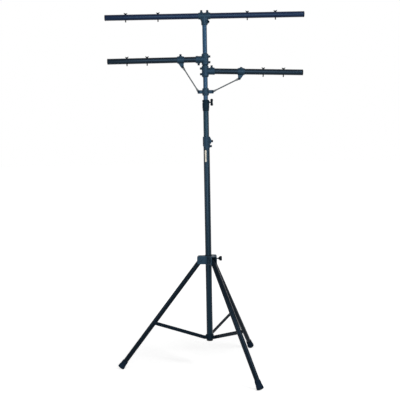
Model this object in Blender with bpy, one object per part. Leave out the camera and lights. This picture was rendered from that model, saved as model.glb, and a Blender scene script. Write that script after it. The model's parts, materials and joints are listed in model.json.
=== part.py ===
# Light stand: folding tripod base, telescopic mast, T-bar and two strutted side arms.
# Metres, +Z up. The origin is on the floor, on the mast's axis. +X is along the T-bar.
import math

import bmesh
import bpy
from mathutils import Matrix, Vector

for old in list(bpy.data.objects):
    bpy.data.objects.remove(old, do_unlink=True)

# Clearances
seat_gap = 0.0003         # between faces that touch on the real stand
slide_gap = 0.0003        # round a tube in the bore that guides it
bolt_gap = 0.0003         # round a bolt, stud or pin in its hole

# Broken edges of castings and mouldings
edge_break = 0.0015
small_edge = 0.001

# Mast: three telescopic tubes
base_tube_outer = 0.038
base_tube_wall = 0.0015
base_tube_bottom = 0.180  # height of the lower end above the floor
base_tube_length = 1.215
middle_tube_outer = 0.034
middle_tube_wall = 0.0015
middle_tube_length = 1.100
middle_tube_shown = 0.225   # from the base tube's top to the middle tube's top
top_tube_outer = 0.028
top_tube_wall = 0.0015
top_tube_length = 1.100
top_tube_shown = 0.510      # from the middle tube's top to the top tube's top
guide_length = 0.030        # plastic guide at the foot of each inner tube
guide_spigot = 0.018        # its part inside the tube
guide_bore = 0.009          # radius of the air hole through a guide

# Legs and braces
leg_tube_outer = 0.030
leg_tube_wall = 0.0015
leg_length = 0.849          # pivot to the floor, along the leg
leg_spread = math.radians(37.4)
leg_overrun = 0.014         # tube above its pivot
leg_azimuths = {"left": math.pi, "front": -math.pi / 3, "back": math.pi / 3}
brace_joint_along = 0.482   # pivot to the brace joint, along the leg
brace_width = 0.022
brace_thickness = 0.003
brace_hub_height = 0.197
pivot_bolt = 0.004          # radius
rivet = 0.003               # radius
rivet_head = 0.006          # radius
rivet_head_rise = 0.0025
rivet_crown = 0.6           # width of a head's flat top, as a share of the head
rivet_tail = 0.0048         # radius

# Foot
boot_radius = 0.0215
boot_rim = 0.0025           # rounding of the sole's edge
boot_swell = 0.008          # its widest part ends here, above the sole
boot_waist_radius = 0.0195
boot_waist = 0.022          # above the sole
boot_neck_radius = 0.0172
boot_neck = 0.006           # length of the neck
boot_length = 0.050
boot_floor = 0.017          # rubber under the tube's end, along the leg

# Leg hub, which slides on the base tube
liner_wall = 0.0015
liner_flange = 0.0022       # thickness and overhang
hub_wall = 0.0046
hub_above_pivot = 0.027
hub_below_pivot = 0.025
lug_corner = 0.014
lug_low_corner = 0.004
lug_margin = 0.022          # lug beyond the pivot
ear_wall = 0.0045
ear_play = 0.0005
leg_swing_play = 0.0012     # between the leg's swinging end and the hub
hub_boss_radius = 0.008
hub_boss_reach = 0.044
hub_knob_height = 0.008     # above the pivots
hub_knob_radius = 0.0145
hub_knob_thickness = 0.017
hub_knob_lobes = 6
hub_knob_lobe_depth = 0.002
hub_knob_reach = 0.066      # from the mast axis to the knob's inner face
hub_knob_neck = 0.005       # length of the collar behind the knob
hub_knob_neck_radius = 0.007
hub_knob_flare_radius = 0.010

# Bottom hub and cap
bottom_hub_wall = 0.0047
bottom_hub_height = 0.030
bottom_ear_thickness = 0.009
cap_thickness = 0.0077
cap_overhang = 0.0005
cap_spigot = 0.020

# Lower collar, a casting at the top of the base tube
collar_wall = 0.003
collar_below = 0.048        # below the base tube's top
collar_above = 0.033
collar_point = 0.022        # height of the pointed lower edge
collar_point_offset = 0.005
wedge_reach = 0.031
wedge_width = 0.014
wedge_top = 0.036           # above the base tube's top
wedge_nose_top = 0.013
wedge_nose_bottom = -0.003
wedge_bottom = -0.017
collar_knob_height = 0.0055
collar_knob_radius = 0.007
collar_knob_thickness = 0.009
collar_knob_lobes = 4
collar_knob_lobe_depth = 0.0008
collar_bolt_drop = 0.025    # below the base tube's top
clamp_stud = 0.003          # radius of a knob's stud

# Upper collar, a plastic moulding at the top of the middle tube
upper_collar_below = 0.036
upper_collar_above = 0.030
upper_collar_wall = 0.0026
band_rise = 0.0012
band_start = 0.014          # above the collar's lower edge
band_slope = 0.002
groove_low = 0.020          # below the collar's top
groove_high = 0.011
handle_height = 0.015       # above the middle tube's top
handle_boss_radius = 0.006
handle_boss_reach = 0.024
handle_stem_radius = 0.0055
handle_stem_neck = 0.0043   # radius
handle_stem_reach = 0.0300
handle_half_length = 0.0215
handle_end_radius = 0.0085
handle_end_round = 0.006
handle_waist_radius = 0.0068
handle_waist_half = 0.004   # half of its straight middle

# T-bar and its adapter
bar_outer = 0.035
bar_wall = 0.0015
bar_half_reach = 0.600
bar_middle_gap = 0.0005     # half of the gap between the two half bars
tee_sleeve_wall = 0.0022
tee_sleeve_half = 0.0365
tee_socket_depth = 0.054    # below the bar's axis
tee_web = 0.003             # between the bar's bore and the post's bore
tee_socket_wall = 0.0050
tee_boss_offset = 0.018
tee_post_bolt_drop = 0.036
tee_post_bolt_azimuth = math.radians(-30)
end_cap_thickness = 0.005
end_cap_overhang = 0.0004
end_cap_round = 0.002
end_cap_spigot = 0.018

# Clamp bolts and the bosses that they pass through
bolt_boss = 0.0068          # radius
bolt_boss_rise = 0.0075     # above the casting it stands on
side_boss_rise = 0.0060     # on the T-bar's post and the strut clamps
clamp_boss_rise = 0.0045    # on the side arms' adapters
low_boss_rise = 0.0038      # on the lower collar and the strut ring
clamp_bolt = 0.004          # radius
bolt_head_across = 0.013
bolt_head_height = 0.0065
bolt_tail = 0.0012          # beyond a nut
grub_inset = 0.001          # below the boss, where a clamp has a grub screw

# Side arms, their adapters and struts
arm_outer = 0.035
arm_wall = 0.0015
arm_reach = 0.590           # mast axis to the arm's end
arm_play = 0.001            # round the arm in its socket
left_arm_drop = 0.2585      # below the T-bar
arm_step = 0.0712           # from the left arm down to the right arm
left_arm_droop = math.radians(0.3)
right_arm_droop = math.radians(1.8)
adapter_height = 0.070
adapter_wall = 0.0067
adapter_chamfer = 0.005
adapter_web = 0.0045        # between the mast's bore and the arm's bore
adapter_bolt_step = 0.017   # clamp bolts above and below the arm
socket_reach = 0.057
socket_wall = 0.0022
socket_rim = 0.014
socket_rim_rise = 0.0012
socket_rim_slope = 0.002
socket_bolt_inset = 0.018   # from the socket's mouth
strut_length = 0.178        # between pins
strut_radius = 0.004
strut_tongue = 0.020        # flattened length at each end
strut_tongue_width = 0.013
strut_tongue_thickness = 0.0046
strut_shoulder = 0.006      # where a tongue narrows to the rod
strut_root = 0.004          # of the rod inside the tongue
strut_pin = 0.003           # radius
strut_clamp_width = 0.042
strut_clamp_wall = 0.0035
clamp_lug_drop = 0.0425     # arm axis to the strut's pin
clamp_lug_inset = 0.012     # from the clamp's middle towards the mast
clamp_lug_below = 0.0075    # lug under the pin
clamp_lug_corner = 0.003
clamp_gusset_drop = 0.016   # foot of the lug's slope, below the arm's axis
fork_width = 0.014
strut_ring_drop = 0.4530    # ring's middle below the T-bar
strut_ring_height = 0.043
strut_ring_wall = 0.006
ring_ear_height = 0.021
ring_pin_radius = 0.042     # mast axis to the strut's pin
ring_ear_margin = 0.007
ring_ear_corner = 0.005

# Wing screws for the lamps: a head with wings, on a stud through the bar
stud = 0.004                # radius
stud_below = 0.012          # beyond the tube
head_base_radius = 0.0065
head_top_radius = 0.0052
head_height = 0.0065
wing_half_span = 0.0110
wing_height = 0.0100
wing_thickness = 0.003
wing_root = 0.0042          # radius where the wings leave the head
wing_root_low = 0.0012
wing_turn = math.radians(22)
bar_screw_places = (-0.474, -0.279, 0.258, 0.427)
arm_screw_places = (0.350, 0.472)

# Smoothness: number of sides
tube_sides = 20
cap_sides = 16
small_sides = 12

# Worked-out sizes
base_radius = base_tube_outer / 2
middle_radius = middle_tube_outer / 2
top_radius = top_tube_outer / 2
leg_radius = leg_tube_outer / 2
bar_radius = bar_outer / 2
arm_radius = arm_outer / 2
base_tube_top = base_tube_bottom + base_tube_length
middle_tube_top = base_tube_top + middle_tube_shown
top_tube_top = middle_tube_top + top_tube_shown
bar_height = top_tube_top + seat_gap + tee_web + slide_gap + bar_radius

liner_outer = base_radius + slide_gap + liner_wall
hub_bore = liner_outer + seat_gap
hub_core = hub_bore + hub_wall
leg_sweep = math.hypot(leg_overrun, leg_radius)
slot_inner = hub_core + seat_gap
leg_pivot_radius = slot_inner + leg_swing_play + leg_sweep
leg_pivot_height = leg_length * math.cos(leg_spread)
boot_sole = leg_length - (boot_radius - boot_rim) * math.tan(leg_spread)
lug_reach = leg_pivot_radius + lug_margin
ear_inner = leg_radius + ear_play
ear_outer = ear_inner + ear_wall

bottom_hub_radius = base_radius + seat_gap + bottom_hub_wall
brace_inner_face = leg_radius + seat_gap
brace_clear = math.sqrt(max((bottom_hub_radius + seat_gap) ** 2 - brace_inner_face ** 2, 0))
brace_hub_radius = brace_clear + brace_width / 2
brace_joint_x = leg_pivot_radius + brace_joint_along * math.sin(leg_spread)
brace_joint_z = leg_pivot_height - brace_joint_along * math.cos(leg_spread)
brace_run = brace_joint_x - brace_hub_radius
brace_rise = brace_joint_z - brace_hub_height
brace_length = math.hypot(brace_run, brace_rise)
brace_slope = math.atan2(brace_rise, brace_run)

left_arm_height = bar_height - left_arm_drop
right_arm_height = left_arm_height - arm_step
strut_ring_level = bar_height - strut_ring_drop
adapter_radius = top_radius + slide_gap + adapter_wall
arm_bore = arm_radius + arm_play
socket_radius = arm_bore + socket_wall
arm_inner_end = top_radius + slide_gap + adapter_web + seat_gap
socket_middle = (socket_reach + arm_inner_end) / 2


# Materials
def srgb_to_linear(value):
    if value <= 0.04045:
        return value / 12.92
    return ((value + 0.055) / 1.055) ** 2.4


def make_material(name, hex_colour, roughness, metallic):
    channels = [int(hex_colour[i:i + 2], 16) / 255 for i in (0, 2, 4)]
    material = bpy.data.materials.new(name)
    material.use_nodes = True
    shader = material.node_tree.nodes["Principled BSDF"]
    shader.inputs["Base Color"].default_value = [srgb_to_linear(c) for c in channels] + [1]
    shader.inputs["Roughness"].default_value = roughness
    shader.inputs["Metallic"].default_value = metallic
    return material


painted_tube = make_material("painted_steel_tube", "22303A", 0.35, 0.0)
painted_casting = make_material("painted_casting", "1E2E38", 0.45, 0.0)
black_steel = make_material("black_steel", "15191C", 0.40, 0.0)
black_plastic = make_material("black_plastic", "101214", 0.50, 0.0)
rubber = make_material("black_rubber", "17181A", 0.80, 0.0)
zinc = make_material("zinc_plated_steel", "9A9C9B", 0.35, 1.0)
strut_steel = make_material("strut_steel", "585D5E", 0.40, 0.6)


# Meshes, each closed and in its own frame
def finish_mesh(bm):
    bmesh.ops.remove_doubles(bm, verts=bm.verts, dist=0.000001)
    bmesh.ops.recalc_face_normals(bm, faces=bm.faces)
    mesh = bpy.data.meshes.new("shape")
    bm.to_mesh(mesh)
    bm.free()
    return mesh


def lathe(profile, sides=tube_sides):
    """Turn a closed loop of (radius, height) round Z. A loop on the axis makes a solid piece."""
    bm = bmesh.new()
    verts = [bm.verts.new((radius, 0, height)) for radius, height in profile]
    count = len(verts)
    on_axis = profile[0][0] == 0 and profile[-1][0] == 0
    pairs = count - 1 if on_axis else count
    edges = [bm.edges.new((verts[i], verts[(i + 1) % count])) for i in range(pairs)]
    bmesh.ops.spin(bm, geom=verts + edges, cent=(0, 0, 0), axis=(0, 0, 1),
                   angle=2 * math.pi, steps=sides, use_merge=True)
    return finish_mesh(bm)


def tube(outer, inner, low, high, sides=tube_sides):
    return lathe([(inner, low), (outer, low), (outer, high), (inner, high)], sides)


def rod(radius, low, high, sides=small_sides):
    bm = bmesh.new()
    middle = Matrix.Translation((0, 0, (low + high) / 2))
    bmesh.ops.create_cone(bm, cap_ends=True, segments=sides, radius1=radius, radius2=radius,
                          depth=high - low, matrix=middle)
    return finish_mesh(bm)


def box(low, high):
    bm = bmesh.new()
    size = Vector(high) - Vector(low)
    middle = (Vector(high) + Vector(low)) / 2
    bmesh.ops.create_cube(bm, matrix=Matrix.Translation(middle) @ Matrix.Diagonal((*size, 1)))
    return finish_mesh(bm)


def plate(outline, low, high):
    """Extrude an outline of (x, z) points from y = low to y = high."""
    bm = bmesh.new()
    face = bm.faces.new([bm.verts.new((x, low, z)) for x, z in outline])
    raised = bmesh.ops.extrude_face_region(bm, geom=[face])
    new_verts = [item for item in raised["geom"] if isinstance(item, bmesh.types.BMVert)]
    bmesh.ops.translate(bm, verts=new_verts, vec=(0, high - low, 0))
    return finish_mesh(bm)


def arc(centre_x, centre_z, radius, start, end, steps):
    angles = [math.radians(start + (end - start) * i / steps) for i in range(steps + 1)]
    return [(centre_x + radius * math.cos(a), centre_z + radius * math.sin(a)) for a in angles]


def stepped_bore(lower, upper, low, high):
    """Cutter for a collar: it takes a tube's end up to z = 0, and the thinner tube above it."""
    return lathe([(0, low), (lower, low), (lower, seat_gap), (upper, seat_gap), (upper, high), (0, high)])


def placed(mesh, matrix):
    moved = mesh.copy()
    moved.transform(matrix)
    return moved


def shifted(mesh, x=0, y=0, z=0):
    return placed(mesh, Matrix.Translation((x, y, z)))


def along_x(mesh, flip=False):
    """Lay a mesh built along Z down along X."""
    return placed(mesh, Matrix.Rotation(math.radians(-90 if flip else 90), 4, "Y"))


def along_y(mesh):
    return placed(mesh, Matrix.Rotation(math.radians(-90), 4, "X"))


def turned(mesh, angle):
    return placed(mesh, Matrix.Rotation(angle, 4, "Z"))


def combine(mesh, tools, operation):
    """Boolean the tools onto a mesh, one after another."""
    base = bpy.data.objects.new("base", mesh)
    bpy.context.collection.objects.link(base)
    helpers = []
    for tool in tools:
        helper = bpy.data.objects.new("tool", tool)
        bpy.context.collection.objects.link(helper)
        modifier = base.modifiers.new("boolean", "BOOLEAN")
        modifier.operation = operation
        modifier.solver = "EXACT"
        modifier.object = helper
        helpers.append(helper)
    evaluated = base.evaluated_get(bpy.context.evaluated_depsgraph_get())
    result = bpy.data.meshes.new_from_object(evaluated)
    for item in helpers + [base]:
        bpy.data.objects.remove(item, do_unlink=True)
    return result


def joined(mesh, *tools):
    return combine(mesh, tools, "UNION")


def cut(mesh, *tools):
    return combine(mesh, tools, "DIFFERENCE")


# Objects
def frame_at(name, location, rotation=(0, 0, 0), parent=None):
    empty = bpy.data.objects.new(name, None)
    empty.location = location
    empty.rotation_euler = rotation
    empty.parent = parent
    bpy.context.collection.objects.link(empty)
    return empty


def add_piece(name, mesh, material, location=(0, 0, 0), rotation=(0, 0, 0), parent=None):
    mesh.materials.clear()
    mesh.materials.append(material)
    mesh.shade_smooth()
    mesh.set_sharp_from_angle(angle=math.radians(35))
    piece = bpy.data.objects.new(name, mesh)
    piece.location = location
    piece.rotation_euler = rotation
    piece.parent = parent
    bpy.context.collection.objects.link(piece)
    return piece


# Fasteners, built along +Z with the head's seat at z = 0
def hex_prism(across, low, high):
    return rod(across / math.sqrt(3), low, high, sides=6)


def hex_bolt(radius, reach_below):
    """A bolt whose head sits just above z = 0 and whose shank goes down."""
    head = hex_prism(bolt_head_across, seat_gap, seat_gap + bolt_head_height)
    return joined(head, rod(radius, -reach_below, seat_gap + bolt_head_height / 2))


def clamp_bolt_on(seat, tip):
    """A bolt along +Z from its tip on the clamped tube to its head on the boss."""
    return shifted(hex_bolt(clamp_bolt, seat - tip), z=seat)


def tight_bolt_on(seat, tip):
    """The same bolt, let into its boss to make one body with the casting."""
    return joined(shifted(hex_prism(bolt_head_across, -seat_gap, seat_gap + bolt_head_height), z=seat),
                  rod(clamp_bolt, tip, seat))


def lobed_knob(radius, thickness, lobes, lobe_depth):
    """A knob with finger lobes, built from z = 0 up."""
    points = 6 * lobes
    outline = []
    for i in range(points):
        angle = 2 * math.pi * i / points
        reach = radius - lobe_depth * (1 - math.cos(lobes * angle)) / 2
        outline.append((reach * math.cos(angle), reach * math.sin(angle)))
    bm = bmesh.new()
    rings = []
    rim = 0.12 * radius
    for inset, height in ((rim, 0), (0, rim), (0, thickness - rim), (rim, thickness)):
        scale = 1 - inset / radius
        rings.append([bm.verts.new((x * scale, y * scale, height)) for x, y in outline])
    for lower, upper in zip(rings, rings[1:]):
        for i in range(points):
            j = (i + 1) % points
            bm.faces.new((lower[i], lower[j], upper[j], upper[i]))
    bm.faces.new(list(reversed(rings[0])))
    bm.faces.new(rings[-1])
    return finish_mesh(bm)


# Mast tubes
def build_mast():
    add_piece("base_tube", tube(base_radius, base_radius - base_tube_wall, 0, base_tube_length),
              painted_tube, (0, 0, base_tube_bottom))
    middle = frame_at("middle_tube_frame", (0, 0, middle_tube_top))
    middle_bore = middle_radius - middle_tube_wall
    add_piece("middle_tube", tube(middle_radius, middle_bore, -middle_tube_length, 0),
              painted_tube, parent=middle)
    add_piece("middle_tube_guide",
              guide_mesh(base_radius - base_tube_wall - slide_gap, middle_bore - seat_gap),
              black_plastic, (0, 0, -middle_tube_length), parent=middle)
    top = frame_at("top_tube_frame", (0, 0, top_tube_top))
    top_bore = top_radius - top_tube_wall
    add_piece("top_tube", tube(top_radius, top_bore, -top_tube_length, 0), painted_tube, parent=top)
    add_piece("top_tube_guide", guide_mesh(middle_bore - slide_gap, top_bore - seat_gap),
              black_plastic, (0, 0, -top_tube_length), parent=top)


def guide_mesh(outer, spigot):
    """A bush that hangs under a tube's end, with a spigot up inside it."""
    shoulder = -seat_gap
    return lathe([(guide_bore, shoulder - guide_length), (outer, shoulder - guide_length),
                  (outer, shoulder), (spigot, shoulder), (spigot, guide_spigot),
                  (guide_bore, guide_spigot)], cap_sides)


# Lower collar: a casting that caps the base tube and guides the middle tube
def build_lower_collar():
    lower_bore = base_radius + seat_gap
    upper_bore = middle_radius + slide_gap
    outer = lower_bore + collar_wall
    body = lathe([(0, -collar_below), (outer, -collar_below), (outer, collar_above - edge_break),
                  (outer - edge_break, collar_above), (0, collar_above)])
    wide = 2 * outer
    low = -collar_below
    below = low - collar_point
    v_left = [(-wide, low + collar_point * 2), (collar_point_offset, low), (collar_point_offset, below),
              (-wide, below)]
    v_right = [(collar_point_offset, low), (wide, low + collar_point * 2), (wide, below),
               (collar_point_offset, below)]
    body = cut(body, plate(v_left, -wide, wide), plate(v_right, -wide, wide))
    root = base_radius + collar_wall / 2
    wedge = plate([(root, wedge_bottom), (wedge_reach, wedge_nose_bottom),
                   (wedge_reach, wedge_nose_top), (root, wedge_top - seat_gap)],
                  -wedge_width / 2, wedge_width / 2)
    bolt_seat = outer + low_boss_rise
    bolt_pad = shifted(along_x(rod(bolt_boss, root, bolt_seat)), z=-collar_bolt_drop)
    knob_hole = shifted(along_x(rod(clamp_stud + bolt_gap, 0, wide)), z=collar_knob_height)
    bolt_hole = shifted(along_x(rod(clamp_bolt + bolt_gap, 0, wide)), z=-collar_bolt_drop)
    space = stepped_bore(lower_bore, upper_bore, -2 * collar_below, 2 * collar_above)
    body = cut(joined(body, wedge, bolt_pad), space, knob_hole, bolt_hole)
    collar = frame_at("lower_collar_frame", (0, 0, base_tube_top))
    add_piece("lower_collar", body, painted_casting, parent=collar)
    add_piece("lower_collar_bolt", along_x(clamp_bolt_on(bolt_seat, base_radius + seat_gap)),
              black_steel, (0, 0, -collar_bolt_drop), parent=collar)
    knob = shifted(lobed_knob(collar_knob_radius, collar_knob_thickness, collar_knob_lobes,
                              collar_knob_lobe_depth), z=wedge_reach + seat_gap)
    screw = rod(clamp_stud, middle_radius + seat_gap, wedge_reach + collar_knob_thickness / 2)
    add_piece("lower_collar_knob", along_x(joined(knob, screw)), black_plastic,
              (0, 0, collar_knob_height), parent=collar)


# Upper collar: a banded moulding on the middle tube, which clamps the top tube
def build_upper_collar():
    lower_bore = middle_radius + seat_gap
    upper_bore = top_radius + slide_gap
    outer = lower_bore + upper_collar_wall
    band = outer + band_rise
    low = -upper_collar_below
    high = upper_collar_above
    body = lathe([(0, low), (outer - small_edge, low), (outer, low + 2 * edge_break),
                  (outer, low + band_start), (band, low + band_start + band_slope),
                  (band, high - groove_low), (outer, high - groove_low + band_slope),
                  (outer, high - groove_high - band_slope), (band, high - groove_high),
                  (band, high - band_slope), (band - band_slope, high), (0, high)])
    boss = shifted(along_x(rod(handle_boss_radius, 0, handle_boss_reach)), z=handle_height)
    hole = shifted(along_x(rod(clamp_stud + bolt_gap, 0, 2 * handle_boss_reach)), z=handle_height)
    space = stepped_bore(lower_bore, upper_bore, 2 * low, 2 * high)
    body = cut(joined(body, boss), space, hole)
    collar = frame_at("upper_collar_frame", (0, 0, middle_tube_top))
    add_piece("upper_collar", body, black_plastic, parent=collar)
    end = handle_half_length
    upper = [(handle_waist_radius, handle_waist_half),
             (handle_end_radius * 0.95, end - 1.8 * handle_end_round),
             (handle_end_radius, end - handle_end_round),
             (handle_end_radius * 0.7, end - 0.2 * handle_end_round), (0, end)]
    grip = lathe([(r, -z) for r, z in reversed(upper)] + upper, small_sides)
    stem_start = handle_boss_reach + seat_gap
    grip_x = handle_stem_reach + handle_waist_radius - small_edge
    stem = lathe([(0, stem_start), (handle_stem_radius, stem_start),
                  (handle_stem_neck, stem_start + 2 * edge_break), (handle_stem_neck, grip_x),
                  (0, grip_x)], small_sides)
    screw = rod(clamp_stud, top_radius + seat_gap, handle_stem_reach)
    handle = joined(shifted(grip, x=grip_x), along_x(stem), along_x(screw))
    add_piece("upper_collar_handle", handle, black_plastic, (0, 0, handle_height), parent=collar)


# Leg hub: a sliding casting with three hooded lugs, the stand's main mechanism
def build_leg_hub():
    hub = frame_at("leg_hub_frame", (0, 0, leg_pivot_height))
    top = hub_above_pivot
    low = -hub_below_pivot
    body = rod(hub_core, low, top, tube_sides)
    corner = arc(lug_reach - lug_corner, top - lug_corner, lug_corner, 0, 90, 5)
    low_corner = [(lug_reach - lug_low_corner, low), (lug_reach, low + lug_low_corner)]
    lug_outline = [(0, low)] + low_corner + corner + [(0, top)]
    slot_top = leg_sweep + leg_swing_play
    lug = plate(lug_outline, -ear_outer, ear_outer)
    slot = box((slot_inner, -ear_inner, 2 * low), (2 * lug_reach, ear_inner, slot_top))
    bolt_hole = shifted(along_y(rod(pivot_bolt + bolt_gap, -2 * ear_outer, 2 * ear_outer)),
                        x=leg_pivot_radius)
    boss = shifted(along_x(rod(hub_boss_radius, 0, hub_boss_reach)), z=hub_knob_height)
    stud_hole = shifted(along_x(rod(pivot_bolt + bolt_gap, 0, 2 * hub_boss_reach)), z=hub_knob_height)
    azimuths = leg_azimuths.values()
    body = joined(body, boss, *[turned(lug, a) for a in azimuths])
    body = cut(body, rod(hub_bore, 2 * low, 2 * top, tube_sides), stud_hole,
               *[turned(slot, a) for a in azimuths], *[turned(bolt_hole, a) for a in azimuths])
    add_piece("leg_hub", body, painted_casting, parent=hub)
    flange_low = top + seat_gap
    liner = lathe([(base_radius + slide_gap, low), (liner_outer, low), (liner_outer, flange_low),
                   (liner_outer + liner_flange, flange_low),
                   (liner_outer + liner_flange, flange_low + liner_flange),
                   (base_radius + slide_gap, flange_low + liner_flange)])
    add_piece("leg_hub_liner", liner, black_plastic, parent=hub)
    nut_top = -ear_outer - seat_gap
    nut_low = nut_top - bolt_head_height
    bolt = shifted(hex_bolt(pivot_bolt, ear_outer - nut_low + bolt_tail), z=ear_outer)
    nut = hex_prism(bolt_head_across, nut_low, nut_top)
    pivot = shifted(along_y(joined(bolt, nut)), x=leg_pivot_radius)
    for side, azimuth in leg_azimuths.items():
        add_piece("leg_pivot_bolt_" + side, pivot.copy(), black_steel, (0, 0, 0), (0, 0, azimuth), hub)
    knob = shifted(lobed_knob(hub_knob_radius, hub_knob_thickness, hub_knob_lobes,
                              hub_knob_lobe_depth), z=hub_knob_reach)
    screw = rod(pivot_bolt, liner_outer + 2 * seat_gap, hub_knob_reach + hub_knob_thickness / 2)
    neck_start = hub_knob_reach - hub_knob_neck
    neck_end = hub_knob_reach + edge_break
    collar = lathe([(0, neck_start), (hub_knob_neck_radius, neck_start),
                    (hub_knob_flare_radius, neck_end), (0, neck_end)], small_sides)
    add_piece("leg_hub_knob", along_x(joined(knob, collar, screw)), black_plastic,
              (0, 0, hub_knob_height), parent=hub)


# Legs, each hung from an empty on its pivot, with its local X pointing outwards
def build_leg(side, azimuth):
    pivot = frame_at("leg_pivot_" + side, (leg_pivot_radius * math.cos(azimuth),
                                           leg_pivot_radius * math.sin(azimuth), leg_pivot_height),
                     (0, -leg_spread, azimuth))
    end = boot_floor - boot_sole
    leg = tube(leg_radius, leg_radius - leg_tube_wall, end + seat_gap, leg_overrun)
    hole = along_y(rod(pivot_bolt + bolt_gap, -leg_tube_outer, leg_tube_outer))
    add_piece("leg_" + side, cut(leg, hole), painted_tube, parent=pivot)
    boot = lathe([(0, 0), (boot_radius - boot_rim, 0), (boot_radius, boot_rim), (boot_radius, boot_swell),
                  (boot_waist_radius, boot_waist), (boot_neck_radius, boot_length - boot_neck),
                  (boot_neck_radius, boot_length), (leg_radius + seat_gap, boot_length),
                  (leg_radius + seat_gap, boot_floor), (0, boot_floor)])
    add_piece("foot_" + side, boot, rubber, (0, 0, -boot_sole), parent=pivot)


# Braces, flat strips that lie beside their legs, so that the two can fold past each other
def build_brace(side, azimuth):
    middle = brace_inner_face + brace_thickness / 2
    place = Matrix.Rotation(azimuth, 4, "Z") @ Vector((brace_hub_radius, middle, 0))
    pivot = frame_at("brace_pivot_" + side, (place.x, place.y, brace_hub_height),
                     (0, -brace_slope, azimuth))
    half_width = brace_width / 2
    half_thickness = brace_thickness / 2
    outline = arc(0, 0, half_width, 90, 270, 6) + arc(brace_length, 0, half_width, -90, 90, 6)
    drill = along_y(rod(rivet + bolt_gap, -brace_thickness, brace_thickness))
    strip = cut(plate(outline, -half_thickness, half_thickness), drill)
    head = along_y(domed_rivet(0, half_thickness - 2 * seat_gap))
    add_piece("brace_" + side, joined(strip, shifted(head, x=brace_length)), black_steel, parent=pivot)


def domed_rivet(low, high):
    """A rivet along +Z from its tail at low to its domed head above high."""
    seat = high + seat_gap
    return lathe([(0, low), (rivet, low), (rivet, seat), (rivet_head, seat),
                  (rivet_head * rivet_crown, seat + rivet_head_rise), (0, seat + rivet_head_rise)],
                 small_sides)


# Bottom hub: three ears that carry the braces, and the cap under the mast
def build_bottom_hub():
    half = bottom_hub_height / 2
    body = rod(bottom_hub_radius, -half, half, tube_sides)
    ear_radius = brace_width / 2
    ear_face = brace_inner_face - seat_gap
    outline = [(0, -ear_radius)] + arc(brace_hub_radius, 0, ear_radius, -90, 90, 8) + [(0, ear_radius)]
    ear = plate(outline, ear_face - bottom_ear_thickness, ear_face)
    hole = shifted(along_y(rod(rivet + bolt_gap, 0, 2 * brace_hub_radius)), x=brace_hub_radius)
    azimuths = leg_azimuths.values()
    body = joined(body, *[turned(ear, a) for a in azimuths])
    body = cut(body, rod(base_radius + seat_gap, -2 * half, 2 * half, tube_sides),
               *[turned(hole, a) for a in azimuths])
    hub = frame_at("bottom_hub_frame", (0, 0, brace_hub_height))
    add_piece("bottom_hub", body, painted_casting, parent=hub)
    tail = ear_face - bottom_ear_thickness - seat_gap
    strip_face = brace_inner_face + brace_thickness
    hub_rivet = joined(domed_rivet(tail - rivet_head_rise, strip_face),
                       rod(rivet_tail, tail - rivet_head_rise, tail))
    hub_rivet = shifted(along_y(hub_rivet), x=brace_hub_radius)
    for side, azimuth in leg_azimuths.items():
        add_piece("brace_hub_rivet_" + side, hub_rivet.copy(), black_steel, (0, 0, 0), (0, 0, azimuth), hub)
    spigot = base_radius - base_tube_wall - seat_gap
    rim = base_radius + cap_overhang
    cap = lathe([(0, -cap_thickness), (rim - edge_break, -cap_thickness),
                 (rim, -cap_thickness + edge_break), (rim, -seat_gap), (spigot, -seat_gap),
                 (spigot, cap_spigot), (0, cap_spigot)])
    add_piece("bottom_cap", cap, black_plastic, (0, 0, base_tube_bottom))


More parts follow.
